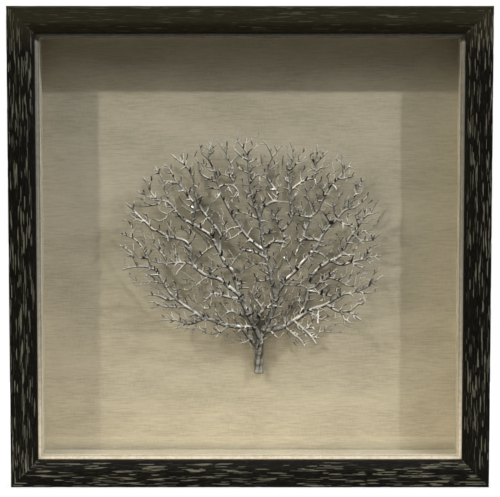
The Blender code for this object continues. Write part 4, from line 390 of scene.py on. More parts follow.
TOP_MIDDLE = [
    (1.3, 0.5, [(32.2, 187.5, 12.1), (31.4, 194, 12.2), (31, 200, 12.4), (31.2, 206, 12.7),
        (31.6, 212, 13), (33, 217.3, 13.5), (35.2, 221.5, 14), (37, 226, 14.5), (38.6, 232.5, 15)]),
    (0.9, 0.5, [(31.7, 212.5, 13), (35.5, 214.8, 14.5), (38.8, 218.4, 15.5), (41.6, 223.3, 16.3),
        (44.7, 227.5, 17)]),
    (0.6, 0.45, [(38.3, 217.8, 15.3), (42, 219.5, 17), (45.5, 220, 18)]),
    (0.8, 0.5, [(35, 221.2, 14), (33, 226, 15.5), (29.8, 230, 17)]),
    (0.8, 0.5, [(37, 226, 14.5), (36, 235, 15.5), (34.6, 239, 16), (32.3, 244, 16.5)]),
    (0.7, 0.5, [(31.3, 207, 12.8), (29.8, 210, 14.5), (28, 212, 16)]),
    (0.7, 0.5, [(31, 198.5, 12.4), (29.3, 201, 14), (27, 203, 15.5)]),
]
UPPER_MIDDLE = [
    (1.5, 0.6, [(1.2, 163.5, 12), (3.2, 170.5, 12.6), (7, 174.8, 13.2), (12, 178, 13.8), (17, 180.5, 14),
        (19.3, 185, 13.6), (18.8, 189.5, 13.2), (15.5, 195, 12.8), (12.3, 199.7, 12.5), (10.2, 204, 12.5),
        (10.2, 209, 13), (10.6, 214, 13.7), (10.6, 219, 14.4), (12.5, 223.3, 15), (15.5, 227.5, 15.5),
        (20, 232.8, 16), (25.8, 240.3, 16.5)]),
    (1.2, 0.6, [(16.5, 180.3, 14), (21, 180, 15.5), (25, 179.6, 16.8), (29.5, 179, 17.8),
        (33.5, 178.6, 18.5)]),
    (0.9, 0.5, [(16.2, 180.3, 14), (13, 184, 13), (9, 189.3, 12)]),
    (0.9, 0.5, [(14.5, 226.3, 15.3), (12.3, 232, 17), (9.3, 238.5, 18), (4.5, 244.3, 18.5)]),
]
TOP_RIGHT_INNER = [
    (1.3, 0.6, [(32.3, 187, 12.1), (34, 191.5, 12.8), (37.4, 194.3, 13.3), (42.3, 198.2, 13.8),
        (48, 201.7, 14.2), (53, 203.2, 14.6), (57.3, 203.8, 15), (59, 207, 15.3), (60, 212, 15.6),
        (60.3, 218, 16), (60.7, 225, 16.5), (61.2, 232, 17), (61.3, 240, 17.5)]),
    (0.9, 0.5, [(57, 203.8, 15), (59.3, 201, 16), (58.8, 196.5, 17), (56.7, 191.5, 18)]),
    (0.7, 0.5, [(59, 198.5, 16.6), (62.3, 199.5, 17.5), (65.7, 203.5, 18)]),
    (0.9, 0.5, [(60, 213, 15.7), (55, 212.8, 17), (50.3, 210.3, 18.5)]),
    (0.9, 0.5, [(60.3, 217.5, 16), (57, 222, 17.5), (54.6, 227, 18.5), (55.2, 235, 19)]),
    (0.9, 0.5, [(60.5, 221.5, 16.3), (65.5, 225.5, 17.8), (69, 229, 18.6), (72.8, 233, 19.3)]),
    (0.8, 0.5, [(59.9, 211.5, 15.6), (63.5, 213.5, 17.3), (67, 217.3, 19)]),
]
UPPER_RIGHT = [
    (2.0, 1.4, [(18.4, 79.8, 10.2), (20.7, 84, 11), (23.2, 88, 11.7), (25.3, 92, 12.2), (28, 96.3, 12.6),
        (31, 99.8, 12.9), (36, 104, 13.2), (41, 109, 13.5), (45.5, 114.8, 13.7), (49.5, 119.3, 13.9),
        (53.5, 123.8, 14), (57, 127.5, 14.1), (60.3, 131.3, 14.2), (63.5, 136.5, 14.3), (66, 142, 14.4),
        (68.8, 147, 14.6), (74.5, 154, 14.9), (81, 160.3, 15.2)]),
    (1.2, 0.6, [(25.2, 91.8, 12.1), (30, 91.7, 13.5), (36, 91.8, 14.5), (42, 91.4, 15.5),
        (48.5, 90.6, 16.5)]),
    (1.2, 0.7, [(26, 93.2, 12.3), (24, 95.5, 16), (21.8, 97.5, 19.5)]),
    (1.2, 0.6, [(57, 127.5, 14.1), (60.5, 126.6, 15.3), (65.5, 124.8, 16.8), (70, 121.8, 18),
        (73.3, 118.8, 19.5)]),
    (1.7, 0.8, [(64.3, 138.2, 14.3), (60, 139.8, 13.3), (55, 140.2, 12.4), (50, 140, 11.6),
        (46, 139.8, 11), (43.8, 136, 11.2), (41.3, 129.5, 12), (37.7, 122, 13.5)]),
    (0.9, 0.5, [(44.5, 137.5, 11.1), (40.5, 139, 14), (37.5, 140.5, 17)]),
    (0.9, 0.5, [(62.5, 134.8, 14.3), (67, 133.8, 15.5), (74.5, 134, 17)]),
    (1.0, 0.6, [(68, 145.8, 14.5), (66.3, 150, 17), (64.2, 154, 19)]),
    (1.1, 0.7, [(40.5, 108.5, 13.5), (43, 109.8, 17), (46, 112.5, 20.5)]),
    (0.8, 0.5, [(50.5, 120.3, 13.9), (54, 120.5, 16), (57, 118.5, 18)]),
    (0.8, 0.5, [(51.5, 121.5, 14), (55, 122.5, 16.5), (57.8, 124.8, 18.5)]),
    (0.9, 0.5, [(73, 152.3, 14.8), (72, 157, 16), (70.5, 161, 17)]),
    (1.3, 0.7, [(76, 155.8, 15), (73.5, 161, 18.5), (70, 166, 21.5), (67, 171.5, 24)]),
    (0.8, 0.5, [(31.5, 100.2, 12.9), (36, 97.3, 14.5), (42, 98.3, 16)]),
    (1.1, 0.5, [(37, 105, 13.2), (34.5, 109, 14.5), (33, 113.4, 15.5), (29.6, 117.5, 16.5),
        (25.2, 122.2, 17.5)]),
]
UPPER_RIGHT_TIP = [
    (1.4, 0.6, [(80.2, 159.6, 15.2), (85, 165, 15.6), (89.5, 169.5, 16), (94.5, 172, 16.3),
        (99.5, 173, 16.7), (104.5, 176.3, 17.1), (109, 180.3, 17.5), (114.7, 186.8, 18)]),
    (1.2, 0.6, [(82, 161.6, 15.3), (86, 159, 16.5), (90, 156, 17.8), (95, 154, 19), (100, 153, 20)]),
    (0.8, 0.5, [(88.5, 157, 17.3), (88.5, 153.5, 19.5), (88, 151.5, 21.5)]),
    (0.7, 0.45, [(91.5, 155.3, 18.1), (93, 158.5, 19), (95, 161, 20)]),
    (1.2, 0.5, [(83, 162.8, 15.4), (80.5, 167, 18), (79.3, 172, 20), (78.8, 176, 21), (79.5, 181.5, 22)]),
    (1.1, 0.5, [(95.5, 172.3, 16.4), (97.3, 177.5, 17.2), (97.7, 182.5, 18), (100.4, 186.5, 18.7),
        (102.7, 192, 19), (105.4, 197.5, 19.3), (110.5, 205, 19.5)]),
    (0.7, 0.5, [(100.8, 187.3, 18.7), (103.5, 187.8, 20), (106, 188, 21)]),
    (0.6, 0.45, [(105, 196.8, 19.2), (107.7, 196.3, 20.5), (110.3, 195.8, 21.5)]),
    (0.8, 0.5, [(90, 169.8, 16), (90.4, 177, 17), (90.8, 185.3, 18)]),
]
TOP_RIGHT = [
    (1.4, 0.7, [(46.5, 139.9, 11), (48.3, 146, 10.5), (50.5, 151.5, 10.2), (52.7, 157.5, 10),
        (55, 163.5, 10), (60, 167.5, 10.4), (63.5, 172.5, 10.8), (66, 178.5, 11.3), (68.6, 184.5, 11.8),
        (71.3, 190, 12.3), (74.8, 195.3, 12.8), (78.3, 199, 13.3), (81.8, 202.5, 13.8),
        (85.5, 206.2, 14.4), (90, 211.3, 15), (93.5, 216.3, 15.8), (97.8, 221.5, 16.5)]),
    (1.3, 0.6, [(54.5, 162.5, 10), (50, 163.6, 12), (45, 164.8, 14), (41, 166, 15.5), (38, 166.5, 17)]),
    (0.8, 0.5, [(43, 165.4, 14.8), (43.5, 169, 16.5), (46, 172.3, 18)]),
    (0.9, 0.5, [(57, 165.3, 10.2), (55.3, 172.5, 9), (53, 178.5, 8.3), (51.6, 185, 8), (50.3, 191.5, 8),
        (48.5, 197.5, 8)]),
    (0.8, 0.5, [(73.5, 193.5, 12.7), (74, 199, 14), (72.7, 204.5, 15)]),
    (0.8, 0.45, [(88.5, 209.5, 14.8), (88.3, 216, 16), (87.1, 224, 17), (87.6, 232, 18)]),
    (0.6, 0.45, [(88.2, 217.5, 16.2), (86.5, 219.5, 18), (85, 221, 19)]),
    (0.9, 0.5, [(83, 203.8, 14), (88.5, 203.5, 15.7), (94, 205, 17), (97.5, 206.2, 17.8),
        (101.5, 209, 18.5)]),
    (0.6, 0.45, [(93, 204.6, 16.8), (91.5, 201.8, 18.5), (90, 200, 20)]),
    (0.9, 0.5, [(77, 197.8, 13.1), (79.7, 195, 15.5), (81.5, 191, 18)]),
    (0.8, 0.5, [(66.5, 180, 11.4), (62.5, 180.6, 13.5), (58.5, 178.3, 15.5)]),
]
LOW_RIGHT = [
    (2.3, 1.7, [(4, 38, 7.5), (8.5, 41.8, 9.3), (13, 43.4, 10.6), (18.5, 44.8, 11.6), (24.5, 47, 12.3),
        (30, 49.8, 12.8), (35, 53, 13.2), (38.5, 55.2, 13.5), (43, 57.8, 14), (47.5, 61.3, 14.6),
        (52, 64, 15.2), (57, 66.5, 15.8), (63, 68.6, 16.4), (67.5, 70, 16.9), (72, 72.6, 17.4)]),
    (1.0, 0.7, [(13, 43.4, 10.6), (16, 40, 14.5), (20.3, 36.7, 18)]),
    (1.0, 0.6, [(14.5, 43.8, 11), (15.8, 47.5, 15), (19, 51, 18)]),
    (1.2, 0.6, [(26.5, 48, 12.5), (31, 45.3, 15.5), (35, 42, 18), (40.5, 41.3, 20.5),
        (44.8, 39.3, 22.5)]),
    (1.1, 0.6, [(35, 42, 18), (39, 39, 21.5), (43, 36.3, 24), (46.3, 32.3, 26.5), (48.3, 29, 28.5)]),
    (0.9, 0.5, [(28, 48.8, 12.6), (27.5, 54, 10), (29.3, 59.5, 8.5), (32, 63.5, 7.5), (38, 69.5, 7)]),
    (1.1, 0.5, [(62, 68.2, 16.3), (63, 65, 19), (62.5, 61.5, 21), (63.5, 58, 22.5), (66, 56.8, 23.5),
        (70, 56.3, 24.3), (74, 54.8, 25)]),
    (1.1, 0.8, [(62.7, 60, 21.8), (62, 56, 24.5), (62.3, 52, 27)]),
    (0.9, 0.6, [(56.5, 66.2, 15.7), (57, 63, 18.5), (55.5, 59.5, 21)]),
]
FRONT_RIGHT = [
    (1.6, 0.8, [(37.5, 54.6, 13.4), (40.5, 51.5, 17), (44, 48.8, 19.5), (48.5, 45.5, 22),
        (52.4, 41.8, 24.5), (55.5, 38.3, 26.5), (58.6, 33.5, 28), (61, 29.8, 29)]),
    (1.0, 0.6, [(42, 50.3, 18.3), (41.3, 47.5, 21.5), (45.3, 44.5, 24), (48.2, 41, 26),
        (50, 38.5, 27.5)]),
    (0.9, 0.5, [(55.3, 38.5, 26.5), (59, 38.6, 26.8), (62.5, 41, 27), (64, 46, 27.5)]),
]
LOW_RIGHT_TIP = [
    (1.5, 0.7, [(71, 72, 17.4), (76, 75.2, 17.8), (80.5, 78, 18.2), (85, 81, 18.6), (90, 82.9, 18.9),
        (96, 84, 19.2), (101, 85.3, 19.5), (105.5, 86, 19.8), (109.5, 84.5, 20.3), (114.5, 84.4, 20.8),
        (118.8, 85.4, 21.2)]),
    (1.2, 0.5, [(104.5, 85.9, 19.8), (108.5, 88, 20.3), (113, 90.8, 20.8), (117, 92.8, 21.2),
        (120.3, 94.6, 21.5), (125.5, 98.8, 22), (131, 103.2, 22.5)]),
    (0.7, 0.45, [(119.5, 94.2, 21.5), (119.8, 98, 22.5), (118, 101.3, 23.5)]),
    (0.7, 0.45, [(119.5, 94.2, 21.5), (122, 93.5, 23), (124, 91.8, 24)]),
    (0.9, 0.5, [(94.5, 83.8, 19.2), (97.5, 82, 21), (99.8, 79.5, 22.5)]),
    (0.8, 0.5, [(101, 85.3, 19.5), (103.5, 89, 21), (104.8, 92, 22.5)]),
]
BOTTOM_RIGHT = [
    (1.5, 0.7, [(71.3, 72.2, 17.4), (74.5, 69.8, 18.3), (78, 67, 19.2), (82.5, 65.4, 20), (88, 65, 20.8),
        (93, 64.8, 21.5), (97, 63.3, 22.2), (100.5, 60.8, 23), (104, 58.2, 23.8), (107.8, 55.8, 24.5)]),
    (1.0, 0.5, [(86, 65.1, 20.5), (88.3, 60.5, 22), (90.3, 55.5, 23.5), (90.2, 49.8, 25)]),
    (0.8, 0.5, [(89.8, 56.5, 23.3), (93.5, 54.6, 25), (97, 52.6, 26)]),
    (1.0, 0.5, [(95.5, 64.2, 21.9), (99.6, 69, 22.5), (104.5, 73.5, 23), (105.5, 77, 23.3),
        (109, 79.5, 24)]),
    (0.7, 0.45, [(103.5, 72.8, 23), (107, 73.3, 24.5), (110.5, 71.8, 25.5)]),
    (0.8, 0.6, [(99.5, 61.5, 22.8), (100, 58.5, 25), (101.3, 56.3, 26.5)]),
    (0.7, 0.5, [(98, 62.6, 22.4), (101.5, 62.5, 24.5), (104.8, 61.6, 26)]),
    (0.9, 0.6, [(75.5, 69, 18.5), (78, 69.8, 21.5), (81, 69.6, 24)]),
]
RIGHT = [
    (2.1, 1.4, [(40, 56.2, 13.6), (44.5, 61, 11.5), (47.3, 66, 10.3), (49.3, 71.5, 10), (51, 78, 10),
        (51.9, 84.5, 10), (52.4, 90, 10.2), (54, 96, 10.6), (56.5, 101, 11), (60, 105.5, 11.5),
        (64, 109.7, 12), (68.5, 112.8, 12.3), (74.6, 117, 12.6), (79.5, 118.6, 12.8), (84, 121, 13),
        (87.3, 124.5, 13.2), (88.8, 128.5, 13.4), (90.8, 133, 13.6), (93.5, 138, 13.8), (96, 142.5, 14)]),
    (1.3, 0.7, [(52, 84.8, 10), (56, 85.6, 13), (61, 84.6, 15.5), (66, 82.8, 18), (71, 81.5, 20),
        (75.5, 80.9, 22), (79.5, 80.8, 24)]),
    (1.2, 0.8, [(66.3, 82.7, 18.1), (66.5, 86, 21.5), (67.5, 89.5, 24.5)]),
    (0.8, 0.5, [(69, 82, 19.2), (67.3, 77.8, 20.5), (64.5, 75, 21)]),
    (0.9, 0.5, [(49, 70.5, 10), (46, 75.5, 11.5), (43, 80, 12.5), (40, 84.5, 13.5)]),
    (0.8, 0.5, [(46.5, 64.5, 10.5), (43.5, 69.3, 12.5), (40.3, 72.8, 14)]),
    (1.0, 0.7, [(45, 62, 11.3), (45.8, 64.5, 15.5), (46.5, 67, 19)]),
    (1.1, 0.7, [(53.5, 94.5, 10.5), (54.3, 98.5, 15), (55.5, 102, 19)]),
    (0.9, 0.6, [(57.5, 102.3, 11.2), (54.5, 104, 14.5), (52, 104.5, 17.5)]),
    (0.9, 0.6, [(66, 111.2, 12.1), (65, 114, 16.5), (67.5, 117, 20)]),
    (0.8, 0.5, [(87, 124.2, 13.2), (84.5, 127, 15), (81.8, 131.3, 17)]),
    (0.8, 0.5, [(88.3, 127, 13.3), (91, 125, 16), (94.3, 122.8, 18)]),
    (0.9, 0.5, [(89.5, 130, 13.5), (87.5, 134, 13), (86.5, 138.5, 12.5)]),
    (1.0, 0.6, [(92.3, 135.8, 13.7), (95, 136.8, 16.5), (99, 136.5, 19)]),
    (1.0, 0.7, [(89, 129, 13.4), (87.3, 130.5, 17.5), (87, 132.5, 21)]),
]
RIGHT_TIP = [
    (1.4, 0.6, [(95.4, 141.5, 14), (99, 147, 14.3), (102.3, 151, 14.7), (105.5, 155.5, 15.1),
        (108.8, 160.5, 15.6), (113, 165.2, 16.2), (117.5, 169.5, 17), (121, 176, 18),
        (125.5, 183.5, 19)]),
    (1.2, 0.5, [(98.5, 146.3, 14.2), (102.5, 142, 16), (106.7, 139.5, 17.3), (112.5, 138.8, 18.5),
        (118, 140, 19.5), (122.8, 142.9, 20.2), (127.8, 147.5, 21)]),
    (0.8, 0.45, [(101.5, 143, 15.6), (106.7, 146.5, 16.5), (110.5, 149, 17), (116, 150, 17.5)]),
    (0.8, 0.5, [(105, 140.3, 16.8), (107.5, 137.5, 19.5), (110, 136, 22)]),
    (0.9, 0.5, [(105, 154.8, 15), (103.2, 159, 16.5), (102, 163.5, 18), (100.3, 166.5, 19)]),
    (0.8, 0.5, [(112.3, 164.5, 16.1), (110.8, 170, 17.5), (110, 175.5, 18.5)]),
    (0.8, 0.5, [(114, 166.2, 16.4), (118.5, 166.8, 18), (123.3, 169, 19)]),
    (0.8, 0.5, [(107.5, 158.5, 15.4), (112, 158, 17.5), (117, 160, 19)]),
]
RIGHT_INNER = [
    (1.4, 0.6, [(52.4, 87.5, 10.1), (56.5, 88.6, 12.5), (60, 90.5, 14.5), (63, 94, 16), (66, 96.8, 17),
        (70, 98.6, 17.8), (75, 100, 18.3), (79, 99.3, 18.8), (83, 97.6, 19.3), (87.5, 95.2, 19.8),
        (92, 92.8, 20.5), (98, 91, 21)]),
    (1.1, 0.6, [(74, 99.9, 18.2), (74.8, 103, 20), (78, 106, 21.5), (82.5, 109.8, 23)]),
    (0.8, 0.6, [(74.9, 103, 20), (74, 105.5, 22.5), (73, 107.5, 24.5)]),
    (0.9, 0.5, [(64, 95, 16.4), (67.5, 95.3, 19.5), (71.5, 97, 22.5)]),
]
FAR_RIGHT = [
    (1.4, 0.6, [(77, 117.8, 12.7), (82, 115.3, 14), (87, 113.8, 15.5), (92.5, 114.5, 16.8),
        (97.7, 116.2, 17.8), (102.5, 118, 18.6), (108, 119.5, 19.4), (114, 121.3, 20.2), (120, 122.6, 21),
        (129.5, 124.3, 22)]),
    (0.8, 0.5, [(109, 119.8, 19.5), (113, 124.8, 20.8), (116, 128, 21.5), (118.8, 129.8, 22)]),
    (0.8, 0.5, [(110, 120.1, 19.6), (114, 117.8, 21.5), (117.5, 114.5, 23)]),
    (0.9, 0.5, [(98, 116.3, 17.9), (102.6, 113, 19.5), (105.5, 112, 20.5), (109.3, 110.5, 21.5)]),
    (0.7, 0.5, [(101, 114.2, 19), (105, 114.5, 21), (109, 114.3, 22.5)]),
    (0.6, 0.4, [(121, 122.8, 21.2), (124, 120.3, 22.3), (127, 118.3, 23)]),
]

# Node, routes, and the node that it grows from
LIMBS = [
    ("coral_stem", STEM, None),
    ("coral_limb_left", LEFT, "coral_stem"),
    ("coral_trunk", TRUNK, "coral_stem"),
    ("coral_limb_middle", MIDDLE, "coral_limb_left"),
    ("coral_limb_low_left", LOW_LEFT, "coral_stem"),
    ("coral_limb_far_left", FAR_LEFT, "coral_limb_low_left"),
    ("coral_limb_left_inner", LEFT_INNER, "coral_limb_left"),
    ("coral_limb_mid_left", MID_LEFT, "coral_limb_left"),
    ("coral_limb_high_left", HIGH_LEFT, "coral_limb_mid_left"),
    ("coral_limb_upper_left", UPPER_LEFT, "coral_limb_left"),
    ("coral_limb_far_upper_left", FAR_UPPER_LEFT, "coral_limb_upper_left"),
    ("coral_limb_left_crown", LEFT_CROWN, "coral_limb_upper_left"),
    ("coral_limb_inner_left", INNER_LEFT, "coral_limb_upper_left"),
    ("coral_limb_centre", CENTRE, "coral_trunk"),
    ("coral_limb_crown", CROWN, "coral_limb_centre"),
    ("coral_limb_upper_middle", UPPER_MIDDLE, "coral_limb_centre"),
    ("coral_limb_top_left", TOP_LEFT, "coral_limb_centre"),
    ("coral_limb_top_left_tip", TOP_LEFT_TIP, "coral_limb_top_left"),
    ("coral_limb_centre_right", CENTRE_RIGHT, "coral_limb_centre"),
    ("coral_limb_top_middle", TOP_MIDDLE, "coral_limb_centre_right"),
    ("coral_limb_top_right_inner", TOP_RIGHT_INNER, "coral_limb_centre_right"),
    ("coral_limb_upper_right", UPPER_RIGHT, "coral_trunk"),
    ("coral_limb_upper_right_tip", UPPER_RIGHT_TIP, "coral_limb_upper_right"),
    ("coral_limb_top_right", TOP_RIGHT, "coral_limb_upper_right"),
    ("coral_limb_low_right", LOW_RIGHT, "coral_trunk"),
    ("coral_limb_front_right", FRONT_RIGHT, "coral_limb_low_right"),
    ("coral_limb_low_right_tip", LOW_RIGHT_TIP, "coral_limb_low_right"),
    ("coral_limb_bottom_right", BOTTOM_RIGHT, "coral_limb_low_right"),
    ("coral_limb_right", RIGHT, "coral_limb_low_right"),
    ("coral_limb_right_tip", RIGHT_TIP, "coral_limb_right"),
    ("coral_limb_right_inner", RIGHT_INNER, "coral_limb_right"),
    ("coral_limb_far_right", FAR_RIGHT, "coral_limb_right"),
]


def linear(hex_colour):
    """Turns an sRGB hex value such as 0x8A8577 to linear red, green and blue."""
    channels = [((hex_colour >> shift) & 255) / 255 for shift in (16, 8, 0)]
    return tuple(c / 12.92 if c <= 0.04045 else ((c + 0.055) / 1.055) ** 2.4 for c in channels)


def colour_property(name, description, hex_colour):
    """A colour setting whose default is an sRGB hex value."""
    return FloatVectorProperty(name=name, description=description, subtype="COLOR", size=3,
                               min=0.0, max=1.0, default=linear(hex_colour))


def set_input(tree, node, key, value):
    """Links or fills one input, found by its identifier, its name or its place in the list."""
    if isinstance(key, int):
        socket = node.inputs[key]
    else:
        socket = next(s for s in node.inputs if key in (s.identifier, s.name))
    if isinstance(value, bpy.types.NodeSocket):
        tree.links.new(value, socket)
    elif socket.type == "RGBA":
        socket.default_value = (*value, 1.0)
    else:
        socket.default_value = value


def add_node(tree, kind, inputs=None, ramp=None, **settings):
    """Adds a shader node with its settings, its inputs' values or links, and its ramp."""
    node = tree.nodes.new("ShaderNode" + kind)
    for name, value in settings.items():
        setattr(node, name, value)
    for key, value in (inputs or {}).items():
        set_input(tree, node, key, value)
    for i, (position, colour) in enumerate(ramp or ()):
        elements = node.color_ramp.elements
        element = elements[i] if i < 2 else elements.new(position)
        element.position = position
        element.color = (*colour, 1.0)
    return node


def new_material(name):
    """A material with a Principled shader; returns it with its node tree."""
    mat = bpy.data.materials.new(name)
    mat.use_nodes = True
    return mat, mat.node_tree


def finish_surface(tree, inputs):
    """Fills or links the inputs of the material's own shader."""
    for key, value in inputs.items():
        set_input(tree, tree.nodes["Principled BSDF"], key, value)


def mottling(tree, sizes, detail, roughness=0.5, where=None):
    """How uneven a finish is; sizes are its patches' usual millimetres along each axis."""
    where = where or add_node(tree, "TexCoord").outputs["Object"]
    repeats = [1 / (size * MM) for size in sizes]
    stretched = add_node(tree, "Mapping", {"Vector": where, "Scale": repeats}).outputs["Vector"]
    return add_node(tree, "TexNoise", {"Vector": stretched, "Scale": 1.0, "Detail": detail,
                                       "Roughness": roughness}).outputs["Fac"]


def stained_oak(settings):
    """Open-pored oak, chattered with a blade, stained nearly black and lightly waxed.

    The marks and pores show as short pale lines on black, and the mitres' edges are rubbed.
    """
    mat, tree = new_material("stained_oak")
    cuts = add_node(tree, "Attribute", attribute_name="marks").outputs["Fac"]
    marks = add_node(tree, "MapRange", {"Value": cuts, "From Min": 0.22,
                                        "From Max": 0.8}).outputs["Result"]
    rubbed = add_node(tree, "Attribute", attribute_name="rubbed").outputs["Fac"]
    uv = add_node(tree, "UVMap", uv_map="grain").outputs["UV"]
    # Pores 0.6 mm apart across the rail and 12.5 mm long, and bands of stain 11 mm wide
    pores = mottling(tree, (12.5, 0.625, 1000.0), 3.0, 0.6, uv)
    bands = mottling(tree, (83.33, 11.11, 1000.0), 2.0, 0.5, uv)
    stain = add_node(tree, "ValToRGB", {"Fac": bands},
                     ramp=[(0.3, settings.stain_dark), (0.75, settings.stain_light)])
    open_pores = add_node(tree, "MapRange", {"Value": pores, "From Min": 0.56, "From Max": 0.75,
                                             "To Max": 0.3}).outputs["Result"]
    # The stain turns paler along the top of the frame
    position = add_node(tree, "NewGeometry").outputs["Position"]
    height = add_node(tree, "SeparateXYZ", {"Vector": position}).outputs["Z"]
    fading = add_node(tree, "MapRange", {"Value": height, "From Min": FADE_LOW * MM,
                                         "From Max": FADE_HIGH * MM,
                                         "To Max": 0.9}).outputs["Result"]
    faded = add_node(tree, "Mix", {"Factor_Float": fading, "A_Color": stain.outputs["Color"],
                                   "B_Color": settings.faded}, data_type="RGBA").outputs[2]
    grained = add_node(tree, "Mix", {"Factor_Float": open_pores, "A_Color": faded,
                                     "B_Color": settings.mark}, data_type="RGBA").outputs[2]
    marked = add_node(tree, "Mix", {"Factor_Float": marks, "A_Color": grained,
                                    "B_Color": settings.mark}, data_type="RGBA").outputs[2]
    worn = add_node(tree, "Mix", {"Factor_Float": rubbed, "A_Color": marked,
                                  "B_Color": settings.rub}, data_type="RGBA").outputs[2]
    gloss = add_node(tree, "MapRange", {"Value": pores, "To Min": 0.45, "To Max": 0.65})
    bump = add_node(tree, "Bump", {"Height": pores, "Strength": 0.25, "Distance": 0.0003})
    finish_surface(tree, {"Base Color": worn, "Roughness": gloss.outputs["Result"], "IOR": 1.5,
                          "Normal": bump.outputs["Normal"], "Specular IOR Level": 0.22})
    return mat


def champagne_leaf(settings):
    """Pale metal leaf over gesso, dulled by a milky wax: satin, nearly white, faintly broken."""
    mat, tree = new_material("champagne_leaf")
    # The leaf has broken at places 5 or 6 mm apart
    breaks = mottling(tree, (5.556, 5.556, 5.556), 4.0, 0.65)
    tone = add_node(tree, "ValToRGB", {"Fac": breaks},
                    ramp=[(0.35, settings.leaf_deep), (0.6, settings.leaf)])
    # Painted shade darkens the groove between the slip's two beads
    position = add_node(tree, "NewGeometry").outputs["Position"]
    depth = add_node(tree, "SeparateXYZ", {"Vector": position}).outputs["Y"]
    beside = add_node(tree, "Math", {0: depth, 1: (FRONT_Y + GROOVE) * MM},
                      operation="SUBTRACT").outputs[0]
    apart = add_node(tree, "Math", {0: beside}, operation="ABSOLUTE").outputs[0]
    groove_shade = add_node(tree, "MapRange", {"Value": apart, "From Min": 0.05 * MM,
                                        "From Max": 0.28 * MM, "To Min": 0.9,
                                        "To Max": 0.0}).outputs["Result"]
    groove_shaded = add_node(tree, "Mix", {"Factor_Float": groove_shade, "A_Color": tone.outputs["Color"],
                                    "B_Color": linear(0x4A4436)}, data_type="RGBA").outputs[2]
    satin = add_node(tree, "MapRange", {"Value": breaks, "To Min": 0.3, "To Max": 0.5})
    finish_surface(tree, {"Base Color": groove_shaded, "Metallic": 0.15,
                          "Roughness": satin.outputs["Result"]})
    return mat


def slubbed_linen(name, settings, across):
    """Natural linen, plain woven: matt yarn with slubs and thin places along the weft.

    across is the axis that the weft's yarns lie side by side along.
    """
    mat, tree = new_material(name)
    # Real yarns are about 0.5 mm apart, too fine to show, so these are drawn at 1.2 mm. A
    # slub is about 15 mm long, and the dye's clouds are 30 to 70 mm across
    yarn = 1.2
    slub = 15.0
    weft_sizes = [slub, slub, slub]
    weft_sizes["xyz".index(across)] = yarn
    weft = mottling(tree, weft_sizes, 3.0, 0.6)
    warp = mottling(tree, (yarn, slub / 1.5, slub / 2), 2.0)
    cloud = mottling(tree, (71.43, 71.43, 33.33), 3.0)
    cloth = add_node(tree, "Mix", {"Factor_Float": 0.3, "A_Float": weft, "B_Float": warp},
                     data_type="FLOAT").outputs[0]
    uneven = add_node(tree, "Mix", {"Factor_Float": 0.35, "A_Float": cloth, "B_Float": cloud},
                      data_type="FLOAT").outputs[0]
    tone = add_node(tree, "ValToRGB", {"Fac": uneven},
                    ramp=[(0.38, settings.linen_deep), (0.5, settings.linen),
                          (0.62, settings.linen_pale)])
    bump = add_node(tree, "Bump", {"Height": cloth, "Strength": 0.2, "Distance": 0.0003})
    finish_surface(tree, {"Base Color": tone.outputs["Color"], "Roughness": 0.92,
                          "Normal": bump.outputs["Normal"], "Sheen Weight": 0.08,
                          "Sheen Roughness": 0.5, "Specular IOR Level": 0.2})
    return mat


def picture_glass():
    """Coated low-reflection float glass, 2 mm: hardly any mirror image or tint."""
    mat, tree = new_material("picture_glass")
    finish_surface(tree, {"Base Color": (0.985, 0.99, 0.985), "Roughness": 0.0, "IOR": 1.45,
                          "Transmission Weight": 1.0, "Specular IOR Level": 0.12})
    return mat


def silvered_coral(settings):
    """Horny coral silvered and antiqued, with specks of a dark wash.

    Painted light: what faces the front and the top stays bright as a painted highlight, the sides and
    undersides are painted dark as shade, and the specks of wash are dark too.
    """
    mat, tree = new_material("silvered_coral")
    # Specks of wash 2 or 3 mm apart, in patches of about 17 mm
    speckle = mottling(tree, (2.381, 2.381, 2.381), 4.0, 0.65)
    cloud = mottling(tree, (16.67, 16.67, 16.67), 2.0)
    # Painted shade: the more a face turns away from the front and the top, where the lamps are, the
    # further it darkens toward the patina colour
    normal = add_node(tree, "NewGeometry").outputs["Normal"]
    facing_light = add_node(tree, "VectorMath", {0: normal, 1: (0.0, -0.78, 0.62)},
                     operation="DOT_PRODUCT").outputs["Value"]
    painted_shade = add_node(tree, "MapRange", {"Value": facing_light, "From Min": 0.86, "From Max": 0.3,
                                        "To Min": 0.0, "To Max": 0.96}).outputs["Result"]
    patina = add_node(tree, "Math", {0: speckle, 1: cloud}, operation="MULTIPLY").outputs[0]
    spots = add_node(tree, "MapRange", {"Value": patina, "From Min": 0.24, "From Max": 0.38,
                                        "To Min": 0.0, "To Max": 0.6}).outputs["Result"]
    # The painted shade and the wash's specks darken together, and the stronger of the two wins
    dark = add_node(tree, "Math", {0: painted_shade, 1: spots}, operation="MAXIMUM").outputs[0]
    tone = add_node(tree, "Mix", {"Factor_Float": dark, "A_Color": settings.silver,
                                  "B_Color": settings.patina}, data_type="RGBA").outputs[2]
    satin = add_node(tree, "MapRange", {"Value": speckle, "To Min": 0.22, "To Max": 0.44})
    bump = add_node(tree, "Bump", {"Height": speckle, "Strength": 0.35, "Distance": 0.0004})
    finish_surface(tree, {"Base Color": tone, "Metallic": 0.6,
                          "Roughness": satin.outputs["Result"],
                          "Normal": bump.outputs["Normal"]})
    return mat


def zinc_steel():
    """Pressed steel with a thin zinc plating: cool grey, faintly mottled."""
    mat, tree = new_material("zinc_plated_steel")
    # Zinc crystals about 3 mm across
    mottle = mottling(tree, (3.333, 3.333, 3.333), 3.0)
    tone = add_node(tree, "ValToRGB", {"Fac": mottle},
                    ramp=[(0.3, linear(0x9A9C9C)), (0.7, linear(0xC6C8C6))])
    satin = add_node(tree, "MapRange", {"Value": mottle, "To Min": 0.25, "To Max": 0.45})
    finish_surface(tree, {"Base Color": tone.outputs["Color"], "Metallic": 1.0,
                          "Roughness": satin.outputs["Result"]})
    return mat


